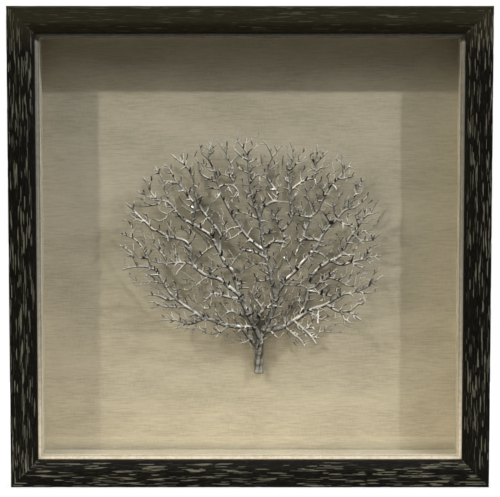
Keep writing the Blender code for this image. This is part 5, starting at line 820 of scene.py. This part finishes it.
def hardboard():
    """Brown pressed fibreboard: smooth, dull, with short darker fibres in it."""
    mat, tree = new_material("hardboard")
    # Real fibres are finer; these are drawn 1 to 2 mm long so that they show
    fibres = mottling(tree, (2.0, 2.0, 1.111), 5.0, 0.7)
    tone = add_node(tree, "ValToRGB", {"Fac": fibres},
                    ramp=[(0.35, linear(0x5E4630)), (0.65, linear(0x8A6A4A))])
    bump = add_node(tree, "Bump", {"Height": fibres, "Strength": 0.2, "Distance": 0.0002})
    finish_surface(tree, {"Base Color": tone.outputs["Color"], "Roughness": 0.75,
                          "Normal": bump.outputs["Normal"]})
    return mat


def black_rubber():
    """Moulded rubber: dark grey, matt, with a faint bloom."""
    mat, tree = new_material("black_rubber")
    # The bloom's spots are between 1 and 2 mm
    bloom = mottling(tree, (1.429, 1.429, 1.429), 2.0)
    tone = add_node(tree, "ValToRGB", {"Fac": bloom},
                    ramp=[(0.3, linear(0x1C1C1C)), (0.7, linear(0x2B2B2A))])
    finish_surface(tree, {"Base Color": tone.outputs["Color"], "Roughness": 0.8})
    return mat


def pale_paper(glow):
    """White paper on a light table: matt and plain, its glow seen only from the camera."""
    mat, tree = new_material("pale_paper")
    seen = add_node(tree, "LightPath").outputs["Is Camera Ray"]
    strength = add_node(tree, "Math", {0: seen, 1: glow}, operation="MULTIPLY").outputs[0]
    finish_surface(tree, {"Base Color": linear(0xCCCCCA), "Roughness": 0.9,
                          "Specular IOR Level": 0.2, "Emission Color": WHITE,
                          "Emission Strength": strength})
    return mat


class FanCoralFrameSettings(bpy.types.PropertyGroup):
    """Colours and cut marks of the rails and slips"""
    stain_dark: colour_property("Stain, dark", "Darkest colour of the stained oak", 0x0E0C06)
    stain_light: colour_property("Stain, light", "Lightest colour of the stained oak", 0x1A160C)
    # The paler colour that the stain takes along the top of the frame
    faded: colour_property("Faded stain", "Colour where daylight has faded it", 0x443F2B)
    mark: colour_property("Marks", "Colour in the chatter marks and pores", 0xA09C8A)
    rub: colour_property("Rubbed edge", "Colour where a mitre's edge is rubbed", 0x9A9888)
    leaf: colour_property("Leaf", "Colour of the metal leaf", 0xFFFBF0)
    leaf_deep: colour_property("Leaf, deep", "Colour in the leaf's breaks", 0xEDE5CF)
    mark_depth: FloatProperty(name="Mark depth", description="Depth of the chatter marks",
                              default=0.00035, min=0.0, max=0.001, unit="LENGTH")
    mark_count: IntProperty(name="Marks", description="Chatter marks on one rail", default=1050,
                            min=0, max=5000)


class FanCoralLinenSettings(bpy.types.PropertyGroup):
    """Colours of the linen"""
    linen: colour_property("Linen", "Main colour of the linen", 0xC0B9A6)
    linen_deep: colour_property("Linen, deep", "Colour between the yarns", 0xB0A995)
    linen_pale: colour_property("Linen, pale", "Colour of the slubs", 0xCCC5B1)


class FanCoralCoralSettings(bpy.types.PropertyGroup):
    """Colours, spurs and twigs of the coral"""
    silver: colour_property("Silver", "Colour of the silver leaf", 0xF4F2EC)
    # Also the colour of the painted shade on the coral's sides and undersides
    patina: colour_property("Patina", "Colour of the dark wash", 0x191712)
    voxel: FloatProperty(name="Fusing size", description="Grid size that fuses the branches",
                         default=0.00032, min=0.0002, max=0.001, unit="LENGTH")
    spur_gap: FloatProperty(name="Spur gap", description="Usual distance between two spurs",
                            default=0.0075, min=0.003, max=0.05, unit="LENGTH")
    twig_gap: FloatProperty(name="Twig gap", description="Usual distance between two twigs",
                            default=0.026, min=0.005, max=0.1, unit="LENGTH")
    twig_count: IntProperty(name="Twigs", description="Tries at twigs that fill the fan's gaps",
                            default=2900, min=0, max=9000)


class FanCoralStageSettings(bpy.types.PropertyGroup):
    """The lights, the floor and the lens"""
    key_power: FloatProperty(name="Key light", description="Power of each key light",
                             default=86.0, min=0.0, max=900.0, unit="POWER")
    low_power: FloatProperty(name="Low light", description="Power of the light below the linen",
                             default=0.5, min=0.0, max=50.0, unit="POWER")
    back_power: FloatProperty(name="Back light", description="Power of the light behind",
                              default=22.0, min=0.0, max=500.0, unit="POWER")
    sheen_power: FloatProperty(name="Sheen light", description="Power of the sheen's soft box",
                               default=20.0, min=0.0, max=500.0, unit="POWER")
    fill_light: FloatProperty(name="Fill", description="Brightness of the light from all round",
                              default=0.006, min=0.0, max=5.0, subtype="FACTOR")
    floor_glow: FloatProperty(name="Floor glow", description="Brightness of the lit floor",
                              default=0.75, min=0.0, max=5.0, subtype="FACTOR")
    lens: FloatProperty(name="Lens", description="Focal length of the camera, in millimetres",
                        default=134.9, min=20.0, max=400.0, unit="CAMERA")


def mesh_object(name, mesh, mat):
    """An object of the mesh, in the scene, in one material."""
    obj = bpy.data.objects.new(name, mesh)
    bpy.context.scene.collection.objects.link(obj)
    mesh.materials.append(mat)
    return obj


def dress_node(name, mat):
    """Gives a carried-over solid its material."""
    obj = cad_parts[name]
    obj.data.materials.clear()
    obj.data.materials.append(mat)
    return obj


def side_matrix(side):
    """Turns the bottom side's shape round the frame's centre to another side."""
    centre = Vector((0.0, 0.0, HALF * MM))
    turn = Matrix.Rotation(-math.radians(90 * SIDES.index(side)), 4, "Y")
    return Matrix.Translation(centre) @ turn @ Matrix.Translation(-centre)


def dense_profile(corners, spacing, smooth_passes):
    """Points about every spacing along an open line of corners, with its bends eased."""
    points = []
    for (u0, v0), (u1, v1) in zip(corners, corners[1:]):
        count = max(1, round(math.hypot(u1 - u0, v1 - v0) / spacing))
        points += [(u0 + (u1 - u0) * i / count, v0 + (v1 - v0) * i / count)
                   for i in range(count)]
    points.append(corners[-1])
    line = np.array(points)
    for _ in range(smooth_passes):
        line[1:-1] = (line[:-2] + 2 * line[1:-1] + line[2:]) / 4
    return line


def rail_line():
    """The rail's section from its outer rear edge over the front to the lip, and back."""
    outside = dense_profile(RAIL_OUTSIDE, spacing=1.1, smooth_passes=0)
    face = dense_profile(RAIL_FACE, spacing=0.55, smooth_passes=2)
    return np.vstack([outside[:-1], face[:-1], np.array(RAIL_REBATE)])


def chatter_marks(rng, count, along, across):
    """How strongly each point of a rail is marked by long thin lens-shaped cuts."""
    marks = np.zeros(along.shape)
    for _ in range(count):
        half = rng.uniform(*MARK_HALF_LENGTH)
        width = rng.uniform(*MARK_HALF_WIDTH)
        tilt = rng.uniform(-MARK_TILT, MARK_TILT)
        ahead = along - rng.uniform(-HALF, HALF)
        near = np.abs(ahead) < half
        aside = across[near] - rng.uniform(0.0, MARKED_ACROSS) - tilt * ahead[near]
        body = 1 - (ahead[near] / half) ** 2
        breadth = width * (0.35 + 0.65 * body)
        cut = np.clip(MARK_STEEPNESS * (1 - (aside / breadth) ** 2), 0, 1)
        marks[near] = np.maximum(marks[near], cut * np.clip(2.5 * body, 0, 1)
                                 * rng.uniform(0.3, 1.0))
    return marks


def rail_faces(rows, columns):
    """Quads round the rail's section and along its length, and a face over each mitre."""
    faces = []
    for r in range(rows):
        s = (r + 1) % rows
        for c in range(columns - 1):
            faces.append((r * columns + c, s * columns + c, s * columns + c + 1,
                          r * columns + c + 1))
    faces.append(tuple(r * columns for r in range(rows))[::-1])
    faces.append(tuple(r * columns + columns - 1 for r in range(rows)))
    return faces


def mitre_wear(steps, from_mitre):
    """How rubbed each point of a rail is: patches close to the mitres only."""
    rng = np.random.default_rng(WEAR_SEED)
    patches = np.interp(steps, np.linspace(0, steps[-1], WEAR_PATCHES),
                        rng.random(WEAR_PATCHES))
    return np.exp(-(from_mitre / WEAR_WIDTH) ** 2) * np.clip(patches[:, None] * 1.8 - 0.75, 0, 1)


def make_rail(side, settings, mat):
    """One mitred rail with its cut marks carved in and stored for its material."""
    rng = np.random.default_rng(RAIL_SEED + SIDES.index(side))
    line = rail_line()
    columns = RAIL_COLUMNS
    steps = np.hstack([[0.0], np.cumsum(np.hypot(*np.diff(line, axis=0).T))])
    t = np.linspace(-1.0, 1.0, columns)
    reach = HALF - line[:, 0]
    along = t[None, :] * reach[:, None]
    across = np.repeat(steps[:, None], columns, axis=1)
    # The top rail was cut more lightly than the others; the lip's own edge is smooth
    strength = TOP_MARK_STRENGTH if side == "top" else 1.0
    marks = strength * chatter_marks(rng, settings.mark_count, along, across)
    tangent = np.gradient(line, axis=0)
    inward = np.stack([-tangent[:, 1], tangent[:, 0]], axis=1)
    inward /= np.maximum(np.linalg.norm(inward, axis=1), 1e-9)[:, None]
    depth = marks * settings.mark_depth / MM
    depth[:, 0] = depth[:, -1] = 0.0
    depth[0] = depth[-UNMARKED_ROWS:] = 0.0
    u = line[:, 0][:, None] + inward[:, 0][:, None] * depth
    v = line[:, 1][:, None] + inward[:, 1][:, None] * depth
    rubbed = mitre_wear(steps, reach[:, None] - np.abs(along))
    points = np.stack([along, FRONT_Y + v, u], axis=2).reshape(-1, 3) * MM
    mesh = bpy.data.meshes.new("oak_rail_" + side)
    mesh.from_pydata([tuple(point) for point in points], [], rail_faces(len(line), columns))
    for name, values in (("marks", marks), ("rubbed", rubbed)):
        layer = mesh.attributes.new(name, "FLOAT", "POINT")
        layer.data.foreach_set("value", values.reshape(-1).astype(np.float32))
    uv = np.stack([along, across], axis=2).reshape(-1, 2) * MM
    uv[:, 0] += GRAIN_SHIFT * (1 + SIDES.index(side))
    loops = np.empty(len(mesh.loops), dtype=np.int32)
    mesh.loops.foreach_get("vertex_index", loops)
    mesh.uv_layers.new(name="grain").data.foreach_set("uv", uv[loops].reshape(-1))
    mesh.transform(side_matrix(side))
    builder = bmesh.new()
    builder.from_mesh(mesh)
    bmesh.ops.recalc_face_normals(builder, faces=builder.faces)
    builder.to_mesh(mesh)
    builder.free()
    mesh.shade_smooth()
    mesh.set_sharp_from_angle(angle=math.radians(50))
    rail = mesh_object("oak_rail_" + side, mesh, mat)
    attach(rail, "root")
    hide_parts("rail_" + side)


def place(point):
    """Takes a point of the coral's sketch to metres in the frame."""
    right, up, out = point
    return Vector((FOOT_X + right * CORAL_SCALE, FRONT_Y + PANEL_FRONT - out,
                   FOOT_Z + up * CORAL_SCALE)) * MM


def smooth_route(points, step):
    """A smooth curve that passes through the points, sampled about every step."""
    padded = [points[0] * 2 - points[1]] + points + [points[-1] * 2 - points[-2]]
    fine = []
    for p0, p1, p2, p3 in zip(padded, padded[1:], padded[2:], padded[3:]):
        for i in range(10):
            t = i / 10
            fine.append(0.5 * (2 * p1 + (p2 - p0) * t + (2 * p0 - 5 * p1 + 4 * p2 - p3) * t * t
                               + (3 * p1 - p0 - 3 * p2 + p3) * t ** 3))
    fine.append(points[-1])
    lengths = [0.0]
    for a, b in zip(fine, fine[1:]):
        lengths.append(lengths[-1] + (b - a).length)
    count = max(3, round(lengths[-1] / step))
    route = []
    at = 0
    for i in range(count + 1):
        goal = lengths[-1] * i / count
        while at < len(lengths) - 2 and lengths[at + 1] < goal:
            at += 1
        part = (goal - lengths[at]) / max(lengths[at + 1] - lengths[at], 1e-9)
        route.append(fine[at].lerp(fine[at + 1], part))
    return route


def nearest_on(routes, point):
    """The nearest sampled point of the given centre lines."""
    return min((p for route in routes for p in route), key=lambda p: (p - point).length)


def add_limb(builder, route, radii, sides=9):
    """A closed tube along a route with a radius at each of its points."""
    rings = []
    side = None
    for i, (centre, radius) in enumerate(zip(route, radii)):
        ahead = route[min(i + 1, len(route) - 1)]
        behind = route[max(i - 1, 0)]
        along = (ahead - behind).normalized()
        if side is None:
            # Any direction that no limb starts along
            side = along.cross(Vector((0.13, 1.0, 0.07))).normalized()
        side = (side - along * side.dot(along)).normalized()
        other = along.cross(side)
        rings.append([builder.verts.new(
            centre + radius * (math.cos(2 * math.pi * k / sides) * side
                               + math.sin(2 * math.pi * k / sides) * other))
            for k in range(sides)])
    for a, b in zip(rings, rings[1:]):
        for k in range(sides):
            n = (k + 1) % sides
            builder.faces.new((a[k], a[n], b[n], b[k]))
    builder.faces.new(rings[0][::-1])
    builder.faces.new(rings[-1])


def limb_radii(rng, count, root, tip, carries):
    """A taper with slow swellings; a free end narrows to a blunt point."""
    radii = []
    swell = rng.uniform(0, 6.28)
    for i in range(count):
        radius = (root + (tip - root) * i / (count - 1)) * 1.1 + 0.08
        wave = math.sin(swell + i * ROUTE_STEP / MM * 0.55)
        radius *= 1 + SWELLING * wave + rng.uniform(-UNEVENNESS, UNEVENNESS)
        left = (count - 1 - i) * ROUTE_STEP / MM
        if not carries and left < BLUNT_END:
            radius *= 0.42 + 0.58 * math.sqrt(left / BLUNT_END)
        radii.append(radius * MM)
    return radii


def sprout(builder, rng, root, along, root_radius, reach, inward):
    """A pointed twig that leaves a limb aside and bends; none too near the panel or the glass.

    inward is how strongly it may turn toward the panel.
    """
    away = Vector((rng.uniform(-1, 1), rng.uniform(-1.0, inward), rng.uniform(-0.7, 1)))
    away = (away - along * away.dot(along)).normalized()
    heading = (away + along * rng.uniform(0.3, 1.0)).normalized()
    bend = Vector((0, rng.uniform(-0.3, 0.1), rng.uniform(-0.1, 0.35))) * reach * 0.4
    tip = root + heading * (reach + root_radius) + bend
    tip_out = FRONT_Y + PANEL_FRONT - tip.y / MM
    if not NEAR_PANEL < tip_out < NEAR_GLASS:
        return None, None
    line = smooth_route([root, root.lerp(tip, 0.55) - bend * 0.3, tip], 0.9 * MM)
    start = min(root_radius * 0.8, 0.42 * MM + reach * 0.11)
    radii = [start + (SPUR_TIP - start) * k / (len(line) - 1) for k in range(len(line))]
    add_limb(builder, line, radii, sides=7)
    return line, radii


def add_spurs(builder, rng, route, radii, settings):
    """Short spurs and longer forked twigs, most of them turned up or toward the glass."""
    length = ROUTE_STEP * (len(route) - 1)
    for gap, shortest, longest, inward in ((settings.spur_gap, 2.5, 6.5, 0.25),
                                           (settings.twig_gap, 7.0, 14.0, 0.6)):
        at = rng.uniform(0.4, 1.0) * gap
        while at < length - 4 * MM:
            i = min(len(route) - 2, int(at / ROUTE_STEP))
            along = (route[i + 1] - route[i]).normalized()
            twig, thickness = sprout(builder, rng, route[i], along, radii[i],
                                     rng.uniform(shortest, longest) * MM, inward)
            if twig and longest > 7:
                for k in (len(twig) // 2, len(twig) * 3 // 4):
                    sprout(builder, rng, twig[k], (twig[k] - twig[k - 1]).normalized(),
                           thickness[k], rng.uniform(2.0, 4.5) * MM, 0.3)
            at += gap * rng.uniform(0.5, 1.6)


def fused(name, builder, voxel):
    """One closed skin over all the tubes of a limb, softened and then thinned out."""
    bmesh.ops.recalc_face_normals(builder, faces=builder.faces)
    mesh = bpy.data.meshes.new(name)
    builder.to_mesh(mesh)
    builder.free()
    obj = bpy.data.objects.new(name, mesh)
    bpy.context.scene.collection.objects.link(obj)
    fuse = obj.modifiers.new("Fuse", "REMESH")
    fuse.mode = "VOXEL"
    fuse.voxel_size = voxel
    soften = obj.modifiers.new("Soften", "SMOOTH")
    soften.factor = 0.4
    soften.iterations = 2
    thin = obj.modifiers.new("Thin out", "DECIMATE")
    thin.ratio = 0.24
    skin = bpy.data.meshes.new_from_object(
        obj.evaluated_get(bpy.context.evaluated_depsgraph_get()))
    bpy.data.objects.remove(obj)
    bpy.data.meshes.remove(mesh)
    skin.name = name
    skin.shade_smooth()
    return skin


def grow_limbs(rng):
    """Every sketched limb's centre lines and radii, rooted on its carrier's centre line."""
    limbs = {}
    carrying = {carrier for _, _, carrier in LIMBS}
    for name, sketch, carrier in LIMBS:
        own = []
        for number, (root_radius, tip_radius, points) in enumerate(sketch):
            placed = [place(point) for point in points]
            for point in placed[1:-1]:
                point += Vector([rng.uniform(-0.35, 0.35) * MM for _ in range(3)])
            carriers = own or limbs.get(carrier, [])
            if carriers:
                placed[0] = nearest_on([route for route, _ in carriers], placed[0])
            route = smooth_route(placed, ROUTE_STEP)
            carries = number == 0 and name in carrying
            own.append((route, limb_radii(rng, len(route), root_radius, tip_radius, carries)))
        limbs[name] = own
    return limbs


def fill_gaps(rng, limbs, count):
    """Grows forked twigs from the nearest limbs into the fan's open places."""
    owners = []
    spots = []
    for name, grown in limbs.items():
        # The stem stays bare
        if name == "coral_stem":
            continue
        for route, radii in grown:
            owners += [(name, radius) for radius in radii]
            spots += [tuple(point) for point in route]
    spots = np.array(spots)
    foot = place((0, 0, 5))
    middle = place((0, 95, 5))
    bearing = np.arctan2(spots[:, 2] - middle.z, spots[:, 0] - middle.x)
    far = np.hypot(spots[:, 2] - middle.z, spots[:, 0] - middle.x)
    for _ in range(count):
        angle = rng.uniform(-math.pi, math.pi)
        beside = np.abs(np.angle(np.exp(1j * (bearing - angle)))) < 0.12
        if not beside.any():
            continue
        radius = far[beside].max() * 0.97 * math.sqrt(rng.random())
        goal = middle + Vector((math.cos(angle), 0, math.sin(angle))) * radius
        flat = np.hypot(spots[:, 0] - goal.x, spots[:, 2] - goal.z)
        if not GAP_RANGE[0] * MM < flat.min() < GAP_RANGE[1] * MM:
            continue
        ahead = np.array([goal.x, goal.z]) - spots[:, [0, 2]]
        outward = spots[:, [0, 2]] - np.array([foot.x, foot.z])
        agree = (ahead * outward).sum(axis=1) / np.maximum(
            np.linalg.norm(ahead, axis=1) * np.linalg.norm(outward, axis=1), 1e-9)
        # A twig rather carries on outward, and its root is never too close to its goal
        root = int(np.argmin(flat + (1 - agree) * TURN_COST * MM + (flat < ROOT_NEAREST * MM)))
        name, root_radius = owners[root]
        start = Vector(spots[root])
        out = FRONT_Y * MM + PANEL_FRONT * MM - start.y + rng.uniform(*OUT_CHANGE) * MM
        goal.y = ((FRONT_Y + PANEL_FRONT) * MM
                  - min(max(out, OUT_RANGE[0] * MM), OUT_RANGE[1] * MM))
        reach = (goal - start).length
        bow = Vector([rng.uniform(-TWIG_BOW, TWIG_BOW) * reach for _ in range(3)])
        route = smooth_route([start, start.lerp(goal, 0.35) + bow,
                              start.lerp(goal, 0.7) + bow * 0.5, goal], ROUTE_STEP)
        thick = min(root_radius * 0.88, 0.78 * MM + reach * 0.026)
        radii = [thick + (TWIG_TIP - thick) * i / (len(route) - 1) for i in range(len(route))]
        limbs[name].append((route, radii))
        owners += [(name, radius) for radius in radii[3:]]
        spots = np.vstack([spots, [tuple(point) for point in route[3:]]])


def strands(route, radii):
    """Three twisted strands that rib the stem."""
    for k in range(3):
        turned = []
        for i, (centre, radius) in enumerate(zip(route, radii)):
            angle = 2 * math.pi * k / 3 + 0.035 * i
            turned.append(centre + Vector((math.cos(angle), math.sin(angle), 0)) * radius * 0.6)
        yield turned, [radius * 0.55 for radius in radii]


def make_limb(index, name, grown, settings, mat):
    """One limb's skin, with its branches, twigs and spurs fused into it."""
    rng = random.Random(LIMB_SEED + index)
    builder = bmesh.new()
    for route, radii in grown:
        if name == "coral_stem":
            add_limb(builder, route, [radius * 0.8 for radius in radii])
            for strand, thickness in strands(route, radii):
                add_limb(builder, strand, thickness)
        else:
            add_limb(builder, route, radii)
            add_spurs(builder, rng, route, radii, settings)
    skin = fused(name.replace("coral_", "silvered_"), builder, settings.voxel)
    limb = mesh_object(skin.name, skin, mat)
    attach(limb, "root")
    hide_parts(name)


class FANCORAL_OT_rails(bpy.types.Operator):
    """Replaces the rails with carved, stained oak"""
    bl_idname = "fan_coral.rails"
    bl_label = "Stained rails"

    def execute(self, context):
        settings = context.scene.fan_coral_frame
        mat = stained_oak(settings)
        for side in SIDES:
            make_rail(side, settings, mat)
        return {"FINISHED"}


class FANCORAL_OT_slips(bpy.types.Operator):
    """Lays champagne leaf on the slips"""
    bl_idname = "fan_coral.slips"
    bl_label = "Leafed slips"

    def execute(self, context):
        mat = champagne_leaf(context.scene.fan_coral_frame)
        for side in SIDES:
            dress_node("slip_" + side, mat)
        return {"FINISHED"}


class FANCORAL_OT_linen(bpy.types.Operator):
    """Covers the panel and the inner walls with slubbed linen"""
    bl_idname = "fan_coral.linen"
    bl_label = "Linen lining"

    def execute(self, context):
        settings = context.scene.fan_coral_linen
        upright = slubbed_linen("slubbed_linen", settings, "z")
        level = slubbed_linen("slubbed_linen_level", settings, "y")
        dress_node("linen_panel", upright)
        for side in SIDES:
            dress_node("wall_" + side, level if side in ("bottom", "top") else upright)
        return {"FINISHED"}


class FANCORAL_OT_glass(bpy.types.Operator):
    """Makes the pane clear"""
    bl_idname = "fan_coral.glass"
    bl_label = "Picture glass"

    def execute(self, context):
        pane = dress_node("glass_pane", picture_glass())
        # Clear glass lets the lamps' light through, so it casts no shadow on the coral
        pane.visible_shadow = False
        return {"FINISHED"}


class FANCORAL_OT_fixings(bpy.types.Operator):
    """Finishes the backing board, points, hangers and bumpers"""
    bl_idname = "fan_coral.fixings"
    bl_label = "Back and fixings"

    def execute(self, context):
        steel = zinc_steel()
        dress_node("backing_board", hardboard())
        for number in range(1, 9):
            dress_node("point_%d" % number, steel)
        rubber = black_rubber()
        for hand in ("left", "right"):
            dress_node("hanger_" + hand, steel)
            dress_node("bumper_" + hand, rubber)
        return {"FINISHED"}


class FANCORAL_OT_coral(bpy.types.Operator):
    """Grows the silvered coral over its solids"""
    bl_idname = "fan_coral.coral"
    bl_label = "Silvered coral"

    def execute(self, context):
        settings = context.scene.fan_coral_coral
        mat = silvered_coral(settings)
        rng = random.Random(CORAL_SEED)
        limbs = grow_limbs(rng)
        fill_gaps(rng, limbs, settings.twig_count)
        for index, (name, grown) in enumerate(limbs.items()):
            make_limb(index, name, grown, settings, mat)
        return {"FINISHED"}


class FANCORAL_OT_stage(bpy.types.Operator):
    """Sets the floor, the lights and the camera"""
    bl_idname = "fan_coral.stage"
    bl_label = "Stage"

    def execute(self, context):
        settings = context.scene.fan_coral_stage
        make_floor(settings)
        make_lights(settings)
        make_world(settings)
        make_camera(settings)
        context.scene.view_settings.view_transform = "Standard"
        return {"FINISHED"}


def make_floor(settings):
    """A small glowing table that the frame stands on."""
    mesh = bpy.data.meshes.new("paper_floor")
    mesh.from_pydata([(-FLOOR_HALF_WIDTH, FLOOR_NEAR, FLOOR_TOP),
                      (FLOOR_HALF_WIDTH, FLOOR_NEAR, FLOOR_TOP),
                      (FLOOR_HALF_WIDTH, FLOOR_FAR, FLOOR_TOP),
                      (-FLOOR_HALF_WIDTH, FLOOR_FAR, FLOOR_TOP)], [], [(0, 1, 2, 3)])
    mesh_object("paper_floor", mesh, pale_paper(settings.floor_glow))


def add_lamp(name, place_from, target, size, power, colour=WHITE):
    """An area light that stands at place_from and looks at target; size is one or two lengths."""
    data = bpy.data.lights.new(name, "AREA")
    data.shape = "RECTANGLE" if len(size) > 1 else "DISK"
    data.size = size[0]
    data.size_y = size[-1]
    data.energy = power
    data.color = colour
    lamp = bpy.data.objects.new(name, data)
    lamp.location = place_from
    lamp.rotation_euler = (Vector(target) - lamp.location).to_track_quat("-Z", "Y").to_euler()
    # The pane casts no shadow, so light that also came through it would be counted twice
    lamp.visible_transmission = False
    bpy.context.scene.collection.objects.link(lamp)
    return lamp


def light_only(lamp, objects):
    """Lets the lamp light these objects alone."""
    receivers = bpy.data.collections.new(lamp.name + "_receivers")
    for obj in objects:
        receivers.objects.link(obj)
    lamp.light_linking.receiver_collection = receivers


def make_lights(settings):
    """Small keys high left and right for crisp shadows, and soft lights for the rest."""
    aside, ahead, up = KEY_PLACE
    add_lamp("key_left", (-aside, ahead, up), LAMP_AIM, KEY_SIZE, settings.key_power, WARM_WHITE)
    add_lamp("key_right", KEY_PLACE, LAMP_AIM, KEY_SIZE, settings.key_power)
    add_lamp("back", BACK_PLACE, LAMP_AIM, BACK_SIZE, settings.back_power)
    cloth = [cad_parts[piece] for piece in ("linen_panel", *("wall_" + s for s in SIDES))]
    # A broad soft box draws a sheen along the silver and the waxed wood, not on the cloth
    box = add_lamp("sheen_box", SHEEN_PLACE, LAMP_AIM, SHEEN_SIZE, settings.sheen_power)
    light_only(box, [obj for obj in bpy.data.objects if obj.type == "MESH" and obj not in cloth])
    box.visible_diffuse = False
    # The strip stands for the warm light that bounces about in the box's foot
    strip = add_lamp("low_strip", STRIP_PLACE, STRIP_AIM, STRIP_SIZE, settings.low_power,
                     LINEN_WHITE)
    light_only(strip, cloth + [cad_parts["slip_" + side] for side in SIDES])
    strip.visible_camera = False
    strip.visible_glossy = False


def make_world(settings):
    """A surround that the camera sees as white and that lights the scene only softly."""
    world = bpy.data.worlds.new("soft_surround")
    world.use_nodes = True
    tree = world.node_tree
    seen = add_node(tree, "LightPath").outputs["Is Camera Ray"]
    span = add_node(tree, "MapRange", {"Value": seen, "To Min": settings.fill_light,
                                       "To Max": 1.0})
    background = tree.nodes["Background"]
    set_input(tree, background, "Color", WHITE)
    set_input(tree, background, "Strength", span.outputs["Result"])
    bpy.context.scene.world = world


def make_camera(settings):
    """The camera looks slightly down at the frame from two metres away."""
    data = bpy.data.cameras.new("camera")
    data.sensor_width = 36.0
    data.lens = settings.lens
    camera = bpy.data.objects.new("camera", data)
    camera.location = (0.0, -CAMERA_DISTANCE * math.cos(CAMERA_ELEVATION),
                       HALF * MM + CAMERA_DISTANCE * math.sin(CAMERA_ELEVATION))
    looking = Vector(CAMERA_AIM) - camera.location
    camera.rotation_euler = looking.to_track_quat("-Z", "Y").to_euler()
    bpy.context.scene.collection.objects.link(camera)
    bpy.context.scene.camera = camera


class FANCORAL_PT_sidebar(bpy.types.Panel):
    """Lists the steps and the settings of the framed coral"""
    bl_idname = "FANCORAL_PT_sidebar"
    bl_label = "Fan coral"
    bl_space_type = "VIEW_3D"
    bl_region_type = "UI"
    bl_category = "Fan coral"

    def draw(self, context):
        column = self.layout.column()
        for operator in OPERATORS:
            column.operator(operator.bl_idname)
        for group in SETTINGS:
            box = self.layout.box()
            for name in SETTINGS[group].__annotations__:
                box.prop(getattr(context.scene, group), name)


SETTINGS = {
    "fan_coral_frame": FanCoralFrameSettings,
    "fan_coral_linen": FanCoralLinenSettings,
    "fan_coral_coral": FanCoralCoralSettings,
    "fan_coral_stage": FanCoralStageSettings,
}
OPERATORS = (FANCORAL_OT_rails, FANCORAL_OT_slips, FANCORAL_OT_linen, FANCORAL_OT_glass,
             FANCORAL_OT_fixings, FANCORAL_OT_coral, FANCORAL_OT_stage)


def register():
    """Adds the settings, the steps and the sidebar to Blender."""
    for cls in (*SETTINGS.values(), *OPERATORS, FANCORAL_PT_sidebar):
        bpy.utils.register_class(cls)
    for name, group in SETTINGS.items():
        setattr(bpy.types.Scene, name, PointerProperty(type=group))


def unregister():
    """Takes them out again."""
    for name in SETTINGS:
        delattr(bpy.types.Scene, name)
    for cls in reversed((*SETTINGS.values(), *OPERATORS, FANCORAL_PT_sidebar)):
        bpy.utils.unregister_class(cls)


def main():
    """Runs every step in order."""
    register()
    bpy.ops.fan_coral.rails()
    bpy.ops.fan_coral.slips()
    bpy.ops.fan_coral.linen()
    bpy.ops.fan_coral.glass()
    bpy.ops.fan_coral.fixings()
    bpy.ops.fan_coral.coral()
    bpy.ops.fan_coral.stage()


if __name__ == "__main__":
    main()
